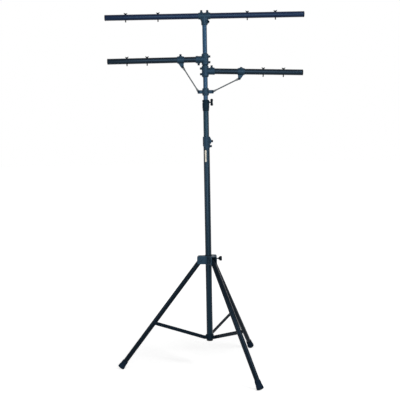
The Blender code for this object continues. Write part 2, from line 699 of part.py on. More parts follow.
# T-bar: an adapter on the top tube holds two half bars end to end
def build_t_bar():
    tee = frame_at("t_bar_frame", (0, 0, bar_height))
    bar_bore = bar_radius + slide_gap
    sleeve = bar_bore + tee_sleeve_wall
    post_bore = top_radius + slide_gap
    socket = post_bore + tee_socket_wall
    post_seat = top_tube_top + seat_gap - bar_height
    boss_top = sleeve + bolt_boss_rise
    body = along_x(rod(sleeve, -tee_sleeve_half, tee_sleeve_half, tube_sides))
    post = lathe([(0, -tee_socket_depth), (socket - edge_break, -tee_socket_depth),
                  (socket, -tee_socket_depth + edge_break), (socket, 0), (0, 0)])
    boss = rod(bolt_boss, 0, boss_top)
    drill = rod(clamp_bolt + bolt_gap, 0, 2 * boss_top)
    side_boss_reach = socket + side_boss_rise
    sideways = Matrix.Translation((0, 0, -tee_post_bolt_drop)) @ Matrix.Rotation(
        tee_post_bolt_azimuth, 4, "Z") @ Matrix.Rotation(math.pi / 2, 4, "Y")
    side_boss = placed(rod(bolt_boss, 0, side_boss_reach), sideways)
    side_drill = placed(rod(clamp_bolt + bolt_gap, 0, 2 * side_boss_reach), sideways)
    body = joined(body, post, shifted(boss, x=tee_boss_offset), shifted(boss, x=-tee_boss_offset),
                  side_boss)
    body = cut(body, along_x(rod(bar_bore, -2 * tee_sleeve_half, 2 * tee_sleeve_half, tube_sides)),
               rod(post_bore, -2 * tee_socket_depth, post_seat, tube_sides),
               shifted(drill, x=tee_boss_offset), shifted(drill, x=-tee_boss_offset), side_drill)
    add_piece("tee_adapter", body, painted_casting, parent=tee)
    bolt = clamp_bolt_on(boss_top, bar_bore)
    side_bolt = placed(clamp_bolt_on(side_boss_reach, post_bore), sideways)
    add_piece("tee_bolt_left", bolt, black_steel, (-tee_boss_offset, 0, 0), parent=tee)
    add_piece("tee_bolt_right", bolt.copy(), black_steel, (tee_boss_offset, 0, 0), parent=tee)
    add_piece("tee_bolt_post", side_bolt, black_steel, parent=tee)
    places = bar_screw_places
    end = bar_half_reach - end_cap_thickness
    half_bar = tube(bar_radius, bar_radius - bar_wall, bar_middle_gap, end)
    right = drilled(along_x(half_bar), [x for x in places if x > 0], bar_radius)
    left = drilled(along_x(half_bar, flip=True), [x for x in places if x < 0], bar_radius)
    add_piece("t_bar_right", right, painted_tube, parent=tee)
    add_piece("t_bar_left", left, painted_tube, parent=tee)
    cap = end_cap_mesh(bar_radius, bar_wall)
    add_piece("t_bar_cap_right", along_x(cap), black_plastic, (end, 0, 0), parent=tee)
    add_piece("t_bar_cap_left", along_x(cap, flip=True), black_plastic, (-end, 0, 0), parent=tee)
    add_wing_screws("bar_screw", places, bar_radius, tee)


def end_cap_mesh(radius, wall):
    """A cap that plugs a bar's end: z = 0 is the tube's end and +Z points out."""
    rim = radius + end_cap_overhang
    spigot = radius - wall - seat_gap
    out = seat_gap + end_cap_thickness
    return lathe([(0, out), (rim - end_cap_round, out), (rim, out - end_cap_round), (rim, seat_gap),
                  (spigot, seat_gap), (spigot, -end_cap_spigot), (0, -end_cap_spigot)], cap_sides)


def drilled(mesh, places, radius):
    """Drill the studs' cross holes through a bar that lies along X."""
    holes = [shifted(rod(stud + bolt_gap, -2 * radius, 2 * radius), x=x) for x in places]
    return cut(mesh, *holes)


def wing_screw_mesh(radius):
    """A winged head with its seat at z = 0, on a stud that passes through a bar."""
    body = lathe([(0, 0), (head_base_radius, 0), (head_top_radius, head_height), (0, head_height)],
                 small_sides)
    span = wing_half_span
    tall = wing_height
    half = [(wing_root, wing_root_low), (span * 0.85, tall * 0.30), (span, tall * 0.60),
            (span * 0.97, tall), (span * 0.68, tall * 0.92), (wing_root, head_height * 0.80)]
    outline = half + [(-x, z) for x, z in reversed(half)]
    wings = plate(outline, -wing_thickness / 2, wing_thickness / 2)
    shank = rod(stud, -2 * radius - stud_below - seat_gap, head_height / 2)
    return joined(body, wings, shank)


def add_wing_screws(name, places, radius, parent):
    screw = wing_screw_mesh(radius)
    for number, place in enumerate(places, 1):
        turn = wing_turn * (1 if number % 2 else -1)
        add_piece(f"{name}_{number}", screw.copy(), zinc, (place, 0, radius + seat_gap),
                  (0, 0, turn), parent)


# Side arms: one casting per arm, the right one turned over, so that its bolt is on top
def side_adapter_mesh(sag):
    """The left arm's adapter and its three bolts, with the arm sagging by sag at its bolt."""
    half = adapter_height / 2
    mast_bore = top_radius + slide_gap
    taper = adapter_radius - adapter_chamfer * 0.8
    body = lathe([(0, -half), (taper, -half), (adapter_radius, -half + adapter_chamfer),
                  (adapter_radius, half - adapter_chamfer), (taper, half), (0, half)])
    rim = socket_radius + socket_rim_rise
    rim_start = socket_reach - socket_rim
    socket = lathe([(0, 0), (socket_radius, 0), (socket_radius, rim_start - socket_rim_slope),
                    (rim, rim_start), (rim, socket_reach - small_edge),
                    (rim - small_edge, socket_reach), (0, socket_reach)])
    clamp_boss = along_x(rod(bolt_boss, 0, adapter_boss_reach))
    arm_boss = shifted(placed(rod(bolt_boss, 0, arm_boss_reach), upside_down), x=-arm_bolt_place)
    body = joined(body, along_x(socket, flip=True), shifted(clamp_boss, z=adapter_bolt_step),
                  shifted(clamp_boss, z=-adapter_bolt_step), arm_boss)
    arm_space = along_x(rod(arm_bore, arm_inner_end - seat_gap, 2 * socket_reach, tube_sides), flip=True)
    body = cut(body, rod(mast_bore, -2 * half, 2 * half, tube_sides), arm_space)
    clamp = along_x(tight_bolt_on(adapter_boss_reach, mast_bore))
    tip = arm_radius + sag + 2 * seat_gap
    arm_bolt = shifted(placed(tight_bolt_on(arm_boss_reach, tip), upside_down), x=-arm_bolt_place)
    return joined(body, shifted(clamp, z=adapter_bolt_step), shifted(clamp, z=-adapter_bolt_step),
                  arm_bolt)


def build_side_arm(side, height, azimuth, droop):
    flip = 0 if side == "left" else math.pi
    sleeve = frame_at("side_adapter_frame_" + side, (0, 0, height), (0, flip, 0))
    sag = abs(arm_bolt_place - socket_middle) * math.tan(droop)
    add_piece("side_adapter_" + side, side_adapter_mesh(sag), painted_casting, parent=sleeve)
    arm = frame_at("side_arm_frame_" + side, (socket_middle * math.cos(azimuth), 0, height),
                   (0, droop, azimuth))
    start = arm_inner_end - socket_middle + 2 * seat_gap
    end = arm_reach - socket_middle - end_cap_thickness
    places = [x - socket_middle for x in arm_screw_places]
    bar = drilled(along_x(tube(arm_radius, arm_radius - arm_wall, start, end)), places, arm_radius)
    add_piece("side_arm_" + side, bar, painted_tube, parent=arm)
    add_piece("side_arm_cap_" + side, along_x(end_cap_mesh(arm_radius, arm_wall)), black_plastic,
              (end, 0, 0), parent=arm)
    add_wing_screws(side + "_arm_screw", places, arm_radius, arm)
    build_strut(side, height, azimuth, droop, arm)


# Strut clamp on the arm, and the strut down to the ring on the mast
def strut_clamp_mesh():
    bore = arm_radius + slide_gap
    outer = bore + strut_clamp_wall
    half = strut_clamp_width / 2
    tip_low = -clamp_lug_drop - clamp_lug_below
    inner_edge = -clamp_lug_inset - strut_tongue_width / 2
    outer_edge = -clamp_lug_inset + strut_tongue_width / 2
    ring = along_x(lathe([(0, -half), (outer - small_edge, -half), (outer, -half + edge_break),
                          (outer, half - edge_break), (outer - small_edge, half), (0, half)]))
    corner = clamp_lug_corner
    gusset_x = half - 2 * edge_break
    lug = plate([(inner_edge, -bore / 2), (inner_edge, tip_low + corner), (inner_edge + corner, tip_low),
                 (outer_edge - corner, tip_low), (outer_edge, tip_low + corner),
                 (gusset_x, -clamp_gusset_drop), (gusset_x, -bore / 2)], -fork_width / 2, fork_width / 2)
    boss = rod(bolt_boss, 0, outer + side_boss_rise)
    slot_half = strut_tongue_thickness / 2 + seat_gap
    slot_top = -clamp_lug_drop + strut_tongue_width / 2 + 2 * seat_gap
    slot = box((-strut_clamp_width, -slot_half, 2 * tip_low), (strut_clamp_width, slot_half, slot_top))
    pin = shifted(fork_pin(), x=-clamp_lug_inset, z=-clamp_lug_drop)
    body = cut(joined(ring, lug, boss),
               along_x(rod(bore, -strut_clamp_width, strut_clamp_width, tube_sides)), slot,
               rod(clamp_bolt + bolt_gap, 0, 2 * outer))
    return joined(body, pin)


def fork_pin():
    """A riveted pin across a fork, along Y, with a domed head on each side."""
    half = fork_width / 2
    upper = [(rivet_head, half - seat_gap), (rivet_head * rivet_crown, half + rivet_head_rise)]
    lower = [(r, -z) for r, z in reversed(upper)]
    neck = [(strut_pin, -half + seat_gap), (strut_pin, half - seat_gap)]
    ends = half + rivet_head_rise
    return along_y(lathe([(0, -ends)] + lower + neck + upper + [(0, ends)], small_sides))


def build_strut(side, height, azimuth, droop, arm):
    # The clamp sits where a strut of its fixed length reaches the arm
    socket = Vector((socket_middle, height))
    ring_pin = Vector((ring_pin_radius, strut_ring_level))
    outward = Vector((math.cos(droop), -math.sin(droop)))
    upward = Vector((math.sin(droop), math.cos(droop)))
    start = socket - upward * clamp_lug_drop - ring_pin
    along = -start.dot(outward) + math.sqrt(start.dot(outward) ** 2 - start.length_squared
                                            + strut_length ** 2)
    place = along + clamp_lug_inset
    clamp = frame_at("strut_clamp_frame_" + side, (place, 0, 0), parent=arm)
    add_piece("strut_clamp_" + side, strut_clamp_mesh(), painted_casting, parent=clamp)
    bore = arm_radius + slide_gap
    boss_top = bore + strut_clamp_wall + side_boss_rise
    if side == "left":
        screw = clamp_bolt_on(boss_top, bore)
    else:
        screw = rod(clamp_bolt, bore, boss_top - grub_inset)
    add_piece("strut_clamp_screw_" + side, screw, black_steel, parent=clamp)
    pin = start + outward * along + ring_pin
    run = pin - ring_pin
    slope = math.atan2(run.y, run.x)
    strut = frame_at("strut_frame_" + side, (ring_pin.x * math.cos(azimuth), 0, ring_pin.y),
                     (0, -slope, azimuth))
    add_piece("strut_" + side, strut_mesh(), strut_steel, parent=strut)


def strut_mesh():
    """A round rod with both ends flattened to tongues and drilled, along X from pin to pin."""
    hole = strut_pin + bolt_gap
    rod_start = strut_tongue - strut_root
    bar = along_x(rod(strut_radius, rod_start, strut_length - rod_start))
    half = strut_tongue_width / 2
    shoulder = strut_tongue - strut_shoulder
    inside_rod = 0.8 * strut_radius
    outline = arc(0, 0, half, 90, 270, 6) + [(shoulder, -half), (strut_tongue, -inside_rod),
                                            (strut_tongue, inside_rod), (shoulder, half)]
    flat = plate(outline, -strut_tongue_thickness / 2, strut_tongue_thickness / 2)
    far = placed(flat, Matrix.Translation((strut_length, 0, 0)) @ Matrix.Rotation(math.pi, 4, "Z"))
    drill = along_y(rod(hole, -fork_width, fork_width))
    return cut(joined(bar, flat, far), drill, shifted(drill, x=strut_length))


def build_strut_ring():
    bore = top_radius + slide_gap
    outer = bore + strut_ring_wall
    half = strut_ring_height / 2
    body = lathe([(0, -half), (outer - edge_break, -half), (outer, -half + 2 * edge_break),
                  (outer, half - 2 * edge_break), (outer - edge_break, half), (0, half)])
    ear_half = ring_ear_height / 2
    reach = ring_pin_radius + ring_ear_margin
    upper_edge = [(reach, ear_half - ring_ear_corner), (reach - ring_ear_corner, ear_half), (0, ear_half)]
    ear_outline = [(x, -z) for x, z in reversed(upper_edge)] + upper_edge
    ear = plate(ear_outline, -fork_width / 2, fork_width / 2)
    slot_half = strut_tongue_thickness / 2 + seat_gap
    slot_start = ring_pin_radius - strut_tongue_width / 2 - 2 * seat_gap
    slot = box((slot_start, -slot_half, -2 * ear_half), (2 * reach, slot_half, 2 * ear_half))
    pin = shifted(fork_pin(), x=ring_pin_radius)
    screw_seat = outer + low_boss_rise
    screw_boss = along_y(rod(bolt_boss, 0, screw_seat))
    screw_hole = along_y(rod(clamp_bolt + bolt_gap, 0, 2 * screw_seat))
    sides = (0, math.pi)
    body = joined(body, screw_boss, *[turned(ear, a) for a in sides])
    body = cut(body, rod(bore, -2 * half, 2 * half, tube_sides), screw_hole,
               *[turned(slot, a) for a in sides])
    body = joined(body, *[turned(pin, a) for a in sides])
    ring = frame_at("strut_ring_frame", (0, 0, strut_ring_level))
    add_piece("strut_ring", body, painted_casting, parent=ring)
    add_piece("strut_ring_bolt", along_y(clamp_bolt_on(screw_seat, bore)), black_steel, parent=ring)


upside_down = Matrix.Rotation(math.pi, 4, "X")
adapter_boss_reach = adapter_radius + clamp_boss_rise
arm_boss_reach = socket_radius + bolt_boss_rise
arm_bolt_place = socket_reach - socket_bolt_inset

build_mast()
build_lower_collar()
build_upper_collar()
build_leg_hub()
build_bottom_hub()
for leg_side, leg_azimuth in leg_azimuths.items():
    build_leg(leg_side, leg_azimuth)
    build_brace(leg_side, leg_azimuth)
build_t_bar()
build_strut_ring()
build_side_arm("left", left_arm_height, math.pi, left_arm_droop)
build_side_arm("right", right_arm_height, 0, right_arm_droop)
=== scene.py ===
# Light stand: finer pieces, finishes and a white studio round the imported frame.
# Lengths are in metres unless a name ends in Mm.
import json
from math import cos, hypot, pi, radians, sin, sqrt, tan

import bmesh
import bpy
from mathutils import Matrix, Vector


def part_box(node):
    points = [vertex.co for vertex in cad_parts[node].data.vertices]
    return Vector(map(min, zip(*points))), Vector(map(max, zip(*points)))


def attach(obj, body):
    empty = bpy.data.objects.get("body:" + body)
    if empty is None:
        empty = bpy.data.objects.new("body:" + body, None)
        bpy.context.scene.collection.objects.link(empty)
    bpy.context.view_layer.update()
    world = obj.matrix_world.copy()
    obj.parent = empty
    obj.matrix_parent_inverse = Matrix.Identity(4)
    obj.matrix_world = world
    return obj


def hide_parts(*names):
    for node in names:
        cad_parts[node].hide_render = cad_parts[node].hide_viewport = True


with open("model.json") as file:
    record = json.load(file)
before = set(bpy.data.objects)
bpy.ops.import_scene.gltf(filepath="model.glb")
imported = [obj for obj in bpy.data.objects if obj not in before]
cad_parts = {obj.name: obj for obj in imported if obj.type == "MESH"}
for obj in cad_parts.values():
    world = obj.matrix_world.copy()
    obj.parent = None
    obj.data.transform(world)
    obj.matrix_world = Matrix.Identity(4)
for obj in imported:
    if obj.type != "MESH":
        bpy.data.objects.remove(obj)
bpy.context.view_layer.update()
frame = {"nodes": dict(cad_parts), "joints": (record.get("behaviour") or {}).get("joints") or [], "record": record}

nodes = frame["nodes"]
joints = {joint["name"]: joint for joint in frame["joints"]}
mounts = {mount["name"]: mount for mount in frame["record"]["mounts"]}
print("frame loaded:", len(nodes), "nodes")


# Colours and shader nodes
def hexToLinear(code):
    channels = [int(code[i:i + 2], 16) / 255 for i in (0, 2, 4)]
    return [c / 12.92 if c <= 0.04045 else ((c + 0.055) / 1.055) ** 2.4 for c in channels] + [1]


def addNode(tree, kind, settings=None, links=None):
    node = tree.nodes.new(kind)
    for key, value in (settings or {}).items():
        if isinstance(key, int) or key in node.inputs:
            node.inputs[key].default_value = value
        else:
            setattr(node, key, value)
    for key, output in (links or {}).items():
        tree.links.new(output, node.inputs[key])
    return node


def patternScale(sizeMm):
    # Noise and Voronoi repeat once per 1 / scale metres
    return 1000 / sizeMm


# The sky-blue sheen that all the dark surfaces share
sheenColour = "A3D0F9"


def startMaterial(name, roughness, metallic=0.0, gloss=0.0):
    material = bpy.data.materials.new(name)
    material.use_nodes = True
    tree = material.node_tree
    inputs = tree.nodes["Principled BSDF"].inputs
    inputs["Roughness"].default_value = roughness
    inputs["Metallic"].default_value = metallic
    if gloss:
        inputs["Specular IOR Level"].default_value = gloss
        inputs["Specular Tint"].default_value = hexToLinear(sheenColour)
    addNode(tree, "ShaderNodeTexCoord")
    return material, tree


def feedShader(material, outputs):
    tree = material.node_tree
    for name, output in outputs.items():
        tree.links.new(output, tree.nodes["Principled BSDF"].inputs[name])
    return material


def objectPlace(tree):
    return tree.nodes["Texture Coordinate"].outputs["Object"]


def remap(tree, value, low, high, fromLow=0.0, fromHigh=1.0):
    return addNode(tree, "ShaderNodeMapRange", {"From Min": fromLow, "From Max": fromHigh, "To Min": low,
                                                "To Max": high}, {"Value": value}).outputs["Result"]


def noise(tree, sizeMm, detail, stretch=None):
    # A small number in stretch draws the pattern out along that axis
    place = objectPlace(tree)
    if stretch:
        place = addNode(tree, "ShaderNodeMapping", {"Scale": stretch}, {"Vector": place}).outputs["Vector"]
    return addNode(tree, "ShaderNodeTexNoise", {"Scale": patternScale(sizeMm), "Detail": detail},
                   {"Vector": place}).outputs["Fac"]


def mottle(tree, sizeMm, low=0.0, high=1.0, detail=3.0):
    return remap(tree, noise(tree, sizeMm, detail), low, high)


def mixColours(tree, share, first, second):
    mix = addNode(tree, "ShaderNodeMix", {"data_type": "RGBA"}, {0: share})
    for index, colour in ((6, first), (7, second)):
        if isinstance(colour, str):
            mix.inputs[index].default_value = hexToLinear(colour)
        else:
            tree.links.new(colour, mix.inputs[index])
    return mix.outputs[2]


def bump(tree, height, depthMm, strength=1.0):
    return addNode(tree, "ShaderNodeBump", {"Strength": strength, "Distance": depthMm / 1000},
                   {"Height": height}).outputs["Normal"]


def powderCoat(name, light, dark, rubbed, peelMm=1.5, peelDepthMm=0.003, roughness=0.25, gloss=0.27):
    # Polyester powder baked on metal: an even satin skin with orange peel, rubbed a little
    # smoother and paler where hands and clamps have slid along it. Real orange peel is about
    # 1 mm across; it is drawn as coarse as peelMm so that it shows
    material, tree = startMaterial("powder coated " + name, roughness, gloss=gloss)
    clouds = mottle(tree, 60)
    rubShare = remap(tree, noise(tree, 1.6, 2.0, (1, 1, 0.03)), 0.0, 0.35, 0.66, 0.80)
    body = mixColours(tree, clouds, light, dark)
    return feedShader(material, {"Base Color": mixColours(tree, rubShare, body, rubbed),
                                 "Roughness": mottle(tree, 9, roughness - 0.06, roughness + 0.06),
                                 "Normal": bump(tree, mottle(tree, peelMm, detail=1.5), peelDepthMm)})


def blackOxideSteel():
    # Hardened bolts and strip blackened in a hot bath: thin, slightly oily, greyer where it wears
    material, tree = startMaterial("black oxide steel", 0.42, gloss=0.08)
    tint = mottle(tree, 6)
    wear = remap(tree, mottle(tree, 0.8, detail=4), 0.0, 0.4, 0.62, 0.8)
    body = mixColours(tree, tint, "0A1119", "101921")
    return feedShader(material, {"Base Color": mixColours(tree, wear, body, "262C30"),
                                 "Roughness": mottle(tree, 3, 0.34, 0.52),
                                 "Normal": bump(tree, mottle(tree, 1.2), 0.02)})


def mouldedPlastic(name, colour, pale, grainMm, roughness):
    # Injection-moulded plastic with a spark-eroded grain: dull, even, a little dust in the grain
    material, tree = startMaterial(name, roughness, gloss=0.10)
    dusted = mixColours(tree, mottle(tree, 14, 0.0, 0.35), colour, pale)
    grain = addNode(tree, "ShaderNodeTexVoronoi", {"Scale": patternScale(grainMm)},
                    {"Vector": objectPlace(tree)}).outputs["Distance"]
    return feedShader(material, {"Base Color": dusted,
                                 "Roughness": mottle(tree, 5, roughness - 0.05, roughness + 0.07),
                                 "Normal": bump(tree, grain, 0.03, 0.7)})


def mouldedRubber():
    # Vulcanised rubber boot: matt, greyer towards the sole where it picks up floor dust
    material, tree = startMaterial("moulded rubber", 0.82, gloss=0.12)
    height = addNode(tree, "ShaderNodeSeparateXYZ", links={"Vector": objectPlace(tree)}).outputs["Z"]
    nearFloor = remap(tree, height, 0.40, 0.0, 0.0, 0.012)
    dust = addNode(tree, "ShaderNodeMath", {"operation": "MULTIPLY"},
                   {0: nearFloor, 1: mottle(tree, 4, 0.2, 1.0)}).outputs["Value"]
    return feedShader(material, {"Base Color": mixColours(tree, dust, "14202E", "3C4A58"),
                                 "Normal": bump(tree, mottle(tree, 1.5, detail=5), 0.06)})


def zincPlate():
    # Zinc on a rolled thread: grey metal, dulled in use, with a faint yellow bloom
    material, tree = startMaterial("zinc plated thread", 0.32, 1.0)
    return feedShader(material, {"Base Color": mixColours(tree, mottle(tree, 5), "565A5E", "504F48"),
                                 "Roughness": mottle(tree, 1.5, 0.24, 0.42)})


def drawnRod():
    # Cold-drawn steel rod under a thin grey plating: fine lines run along it
    material, tree = startMaterial("drawn steel rod", 0.4, 0.6)
    lines = noise(tree, 0.9, 3.0, (0.04, 1, 1))
    return feedShader(material, {"Base Color": mixColours(tree, lines, "33383A", "4E5456"),
                                 "Roughness": mottle(tree, 4, 0.32, 0.5), "Normal": bump(tree, lines, 0.02)})


def vinylLabel():
    # Cream vinyl sticker, blank, with a soft sheen and slightly soiled
    material, tree = startMaterial("cream vinyl label", 0.5)
    soil = mottle(tree, 12, 0.0, 0.6, 5)
    return feedShader(material, {"Base Color": mixColours(tree, soil, "CCC7B8", "B8B3A4"),
                                 "Normal": bump(tree, mottle(tree, 2), 0.02)})


tubePaint = powderCoat("steel tube", "050B11", "03070B", "142230")
# Painted shade: the legs' copy of the tube paint is darker, for the shade low down
legPaintWithPaintedShade = powderCoat("leg tube", "04080D", "02050A", "0E1A26", roughness=0.22, gloss=0.16)
# Painted light: the base tube's copy of the paint is paler than the arms' and darker than the tubes above it
basePaintWithPaintedLight = powderCoat("base tube", "0A1C25", "07161E", "1A2C36")
# Painted light: the mast's tubes share one paint, and these copies are drawn paler the higher the tube stands, the
# top one most, as light falls from above
middlePaintWithPaintedLight = powderCoat("middle tube", "0F2832", "0B1F28", "2A4050")
topPaintWithPaintedLight = powderCoat("top tube", "26425A", "203850", "3C566C")
barPaint = powderCoat("cross bar", "07112E", "050D26", "1B2B4A")
castPaint = powderCoat("die casting", "1A2E3D", "142531", "3C4C58", 3.0, 0.04, 0.40, 0.26)
# Painted shade: the bottom hub's copy of the casting paint is darker, as it stands low where little light reaches
shadedCastPaint = powderCoat("base casting with painted shade", "111E29", "0C1720", "24323E", 3.0, 0.05, 0.50, 0.10)
blackSteel = blackOxideSteel()
nylon = mouldedPlastic("moulded nylon", "0B0D0F", "1C1E20", 0.8, 0.46)
collarPlastic = mouldedPlastic("moulded polypropylene", "0A1820", "162832", 0.9, 0.42)
rubber = mouldedRubber()
zinc = zincPlate()
rodSteel = drawnRod()
vinyl = vinylLabel()
finishes = {"painted_steel_tube": (tubePaint, legPaintWithPaintedShade, basePaintWithPaintedLight, middlePaintWithPaintedLight, topPaintWithPaintedLight, barPaint, vinyl),
            "painted_casting": (castPaint, shadedCastPaint), "black_plastic": (nylon, collarPlastic),
            "black_steel": (blackSteel,), "black_rubber": (rubber,), "zinc_plated_steel": (zinc,),
            "strut_steel": (rodSteel,)}
slotOf = {material.name: slot for slot, group in finishes.items() for material in group}
print("materials made")


# Mesh tools
def finishMesh(bm):
    bmesh.ops.remove_doubles(bm, verts=bm.verts, dist=0.000002)
    bmesh.ops.recalc_face_normals(bm, faces=bm.faces)
    mesh = bpy.data.meshes.new("mesh")
    bm.to_mesh(mesh)
    bm.free()
    return mesh


def softCorners(points, reach, closed=False, steps=3):
    # Each corner of an outline becomes a short curve
    if not reach:
        return list(points)
    line = []
    for i, point in enumerate(points):
        if not closed and i in (0, len(points) - 1):
            line.append(tuple(point))
            continue
        corner = Vector(point)
        before = Vector(points[i - 1]) - corner
        after = Vector(points[(i + 1) % len(points)]) - corner
        cut = min(reach, 0.45 * before.length, 0.45 * after.length)
        start = corner + before.normalized() * cut
        end = corner + after.normalized() * cut
        for step in range(steps + 1):
            t = step / steps
            line.append(tuple(start * (1 - t) ** 2 + corner * 2 * t * (1 - t) + end * t * t))
    return line


def bridge(bm, lower, upper):
    count = max(len(lower), len(upper))
    for k in range(count):
        n = (k + 1) % count
        corners = [lower[k % len(lower)], lower[n % len(lower)],
                   upper[n % len(upper)], upper[k % len(upper)]]
        bm.faces.new(list(dict.fromkeys(corners)))


def turnedMesh(profile, sides=64, soft=0.0005, shape=None):
    # A profile of (radius, height), turned round Z. shape(radius, height, angle) may bend each ring
    closed = profile[0][0] > 0
    bm = bmesh.new()
    rings = []
    for radius, height in softCorners(profile, soft, closed):
        if radius < 1e-6:
            rings.append([bm.verts.new((0, 0, height))])
            continue
        ring = []
        for k in range(sides):
            angle = 2 * pi * k / sides
            reach, level = shape(radius, height, angle) if shape else (radius, height)
            ring.append(bm.verts.new((reach * cos(angle), reach * sin(angle), level)))
        rings.append(ring)
    pairs = list(zip(rings, rings[1:]))
    if closed:
        pairs.append((rings[-1], rings[0]))
    for lower, upper in pairs:
        bridge(bm, lower, upper)
    return finishMesh(bm)


def solidMesh(profile, sides=64, soft=0.0005, shape=None):
    # A turned solid: its profile runs in to the axis at both ends
    line = [(0, profile[0][1])] + profile + [(0, profile[-1][1])]
    return turnedMesh(line, sides, soft, shape)


def tubeMesh(outer, inner, low, high, sides=64, soft=0.0004):
    return turnedMesh([(inner, low), (outer, low), (outer, high), (inner, high)], sides, soft)


def rodMesh(radius, low, high, sides=48, soft=0.0004):
    return solidMesh([(radius, low), (radius, high)], sides, soft)


def plateMesh(outline, low, high, edge=0.0005):
    # An outline of (x, z), extruded along Y, with both rims broken
    bm = bmesh.new()
    face = bm.faces.new([bm.verts.new((x, low, z)) for x, z in outline])
    raised = bmesh.ops.extrude_face_region(bm, geom=[face])
    tops = [item for item in raised["geom"] if isinstance(item, bmesh.types.BMVert)]
    bmesh.ops.translate(bm, verts=tops, vec=(0, high - low, 0))
    if edge:
        rims = [e for e in bm.edges if abs(e.verts[0].co.y - e.verts[1].co.y) < 1e-7]
        bmesh.ops.bevel(bm, geom=rims, offset=edge, offset_type="OFFSET", segments=2, profile=0.6,
                        affect="EDGES", clamp_overlap=True)
    return finishMesh(bm)


def slotMesh(near, halfWidth, low, high, far=0.1):
    # A square cutter across Y, from x = near to x = far
    return plateMesh([(near, low), (far, low), (far, high), (near, high)], -halfWidth, halfWidth, 0)


def arcPoints(x, z, radius, start, end, steps):
    angles = [radians(start + (end - start) * i / steps) for i in range(steps + 1)]
    return [(x + radius * cos(a), z + radius * sin(a)) for a in angles]


def scaled(points, width, height):
    return [(width * x, height * z) for x, z in points]


def threadMesh(radius, pitch, low, high, threadTop, sides=28):
    # A stud with a real helical thread from its tip at low up to threadTop, plain above that
    rowsPerTurn = 7
    depth = 0.54 * pitch
    rows = int((threadTop - low) / pitch * rowsPerTurn)
    heights = [low + (threadTop - low) * i / rows for i in range(rows + 1)]
    tip = radius - 1.3 * depth

    def shape(ringRadius, height, angle):
        if ringRadius < radius or height >= threadTop - 1e-6:
            return ringRadius, height
        phase = (height / pitch - angle / (2 * pi)) % 1
        groove = radius - depth * (1 - abs(2 * phase - 1))
        return min(groove, tip + (height - low)), height

    return solidMesh([(tip, low)] + [(radius, h) for h in heights[1:]] + [(radius, high)], sides, 0, shape)


def hexHeadMesh(across, height, sides=72):
    # A bolt head with its 30 degree chamfer: the corners fall away from the round top
    flat = across / 2

    def shape(radius, level, angle):
        toFlat = (angle + pi / 6) % (pi / 3) - pi / 6
        corner = flat / cos(toFlat)
        if radius < flat * 0.99:
            return radius, level
        drop = (corner - flat) * tan(radians(30)) if level > height / 2 else 0
        return corner, level - drop

    profile = [(0.93, 0), (1, 0.05), (1, 0.5001), (1, 0.97), (0.92, 1), (0.7, 1), (0.62, 0.9)]
    return solidMesh(scaled(profile, flat, height), sides, 0, shape)


def lobedMesh(radius, thickness, lobes, depth, sides=120):
    # A star knob: lobes with rounded rims, a dished face and a raised centre
    def shape(ringRadius, height, angle):
        share = max(0.0, (ringRadius / radius - 0.55) / 0.45)
        return ringRadius - depth * share * (1 - cos(lobes * angle)) / 2, height

    profile = [(0, 0), (0.62, 0), (0.88, 0.06), (1, 0.22), (1, 0.74), (0.88, 0.95), (0.66, 1),
               (0.52, 0.95), (0.46, 0.86), (0.30, 0.86), (0.25, 0.93), (0, 0.95)]
    return turnedMesh(scaled(profile, radius, thickness), sides, thickness * 0.09, shape)


def bossMesh(reach, root, spread=0.0055, radius=0.0068):
    # A bolt's boss along +Z that flares into the casting below root, as cast bosses do
    return solidMesh([(radius + spread, 0), (radius + spread, root - 0.002), (radius, reach - 0.0025),
                      (radius, reach)], 48, 0.0015)


toX = Matrix.Rotation(pi / 2, 4, "Y")
toMinusX = Matrix.Rotation(-pi / 2, 4, "Y")
toY = Matrix.Rotation(-pi / 2, 4, "X")
turnOver = Matrix.Rotation(pi, 4, "X")


def at(x=0.0, y=0.0, z=0.0):
    return Matrix.Translation((x, y, z))


def aboutZ(angle):
    return Matrix.Rotation(angle, 4, "Z")


def frameMatrix(origin, x, y, z):
    return Matrix.Translation(origin) @ Matrix((x, y, z)).transposed().to_4x4()


def axesMatrix(origin, along, across):
    # A frame whose Z runs along, whose Y runs across, and whose X completes them
    z = along.normalized()
    y = (across - z * across.dot(z)).normalized()
    return frameMatrix(origin, y.cross(z), y, z)


def moved(mesh, matrix):
    copy = mesh.copy()
    copy.transform(matrix)
    return copy


def allRound(mesh, angles):
    return [moved(mesh, aboutZ(angle)) for angle in angles]


def joinedMesh(*meshes):
    # Several loose shells as one mesh
    bm = bmesh.new()
    for mesh in meshes:
        bm.from_mesh(mesh)
    result = bpy.data.meshes.new("mesh")
    bm.to_mesh(result)
    bm.free()
    return result


def addObject(name, data):
    item = bpy.data.objects.new(name, data)
    bpy.context.collection.objects.link(item)
    return item


def carve(mesh, add=(), cut=(), voxel=0.0, smooth=4, keep=1.0):
    # Joins and cuts solids. With a voxel size the corners also soften, as they do in a mould
    base = addObject("base", mesh)
    helpers = []
    for operation, tools in (("UNION", add), ("DIFFERENCE", cut)):
        for tool in tools:
            helper = addObject("tool", tool)
            modifier = base.modifiers.new("boolean", "BOOLEAN")
            modifier.operation = operation
            modifier.solver = "EXACT"
            modifier.object = helper
            helpers.append(helper)
    if voxel:
        remesh = base.modifiers.new("remesh", "REMESH")
        remesh.mode = "VOXEL"
        remesh.voxel_size = voxel
        blur = base.modifiers.new("blur", "SMOOTH")
        blur.factor = 0.5
        blur.iterations = smooth
        thin = base.modifiers.new("thin", "DECIMATE")
        thin.ratio = keep
    evaluated = base.evaluated_get(bpy.context.evaluated_depsgraph_get())
    result = bpy.data.meshes.new_from_object(evaluated)
    for item in helpers + [base]:
        bpy.data.objects.remove(item, do_unlink=True)
    return result


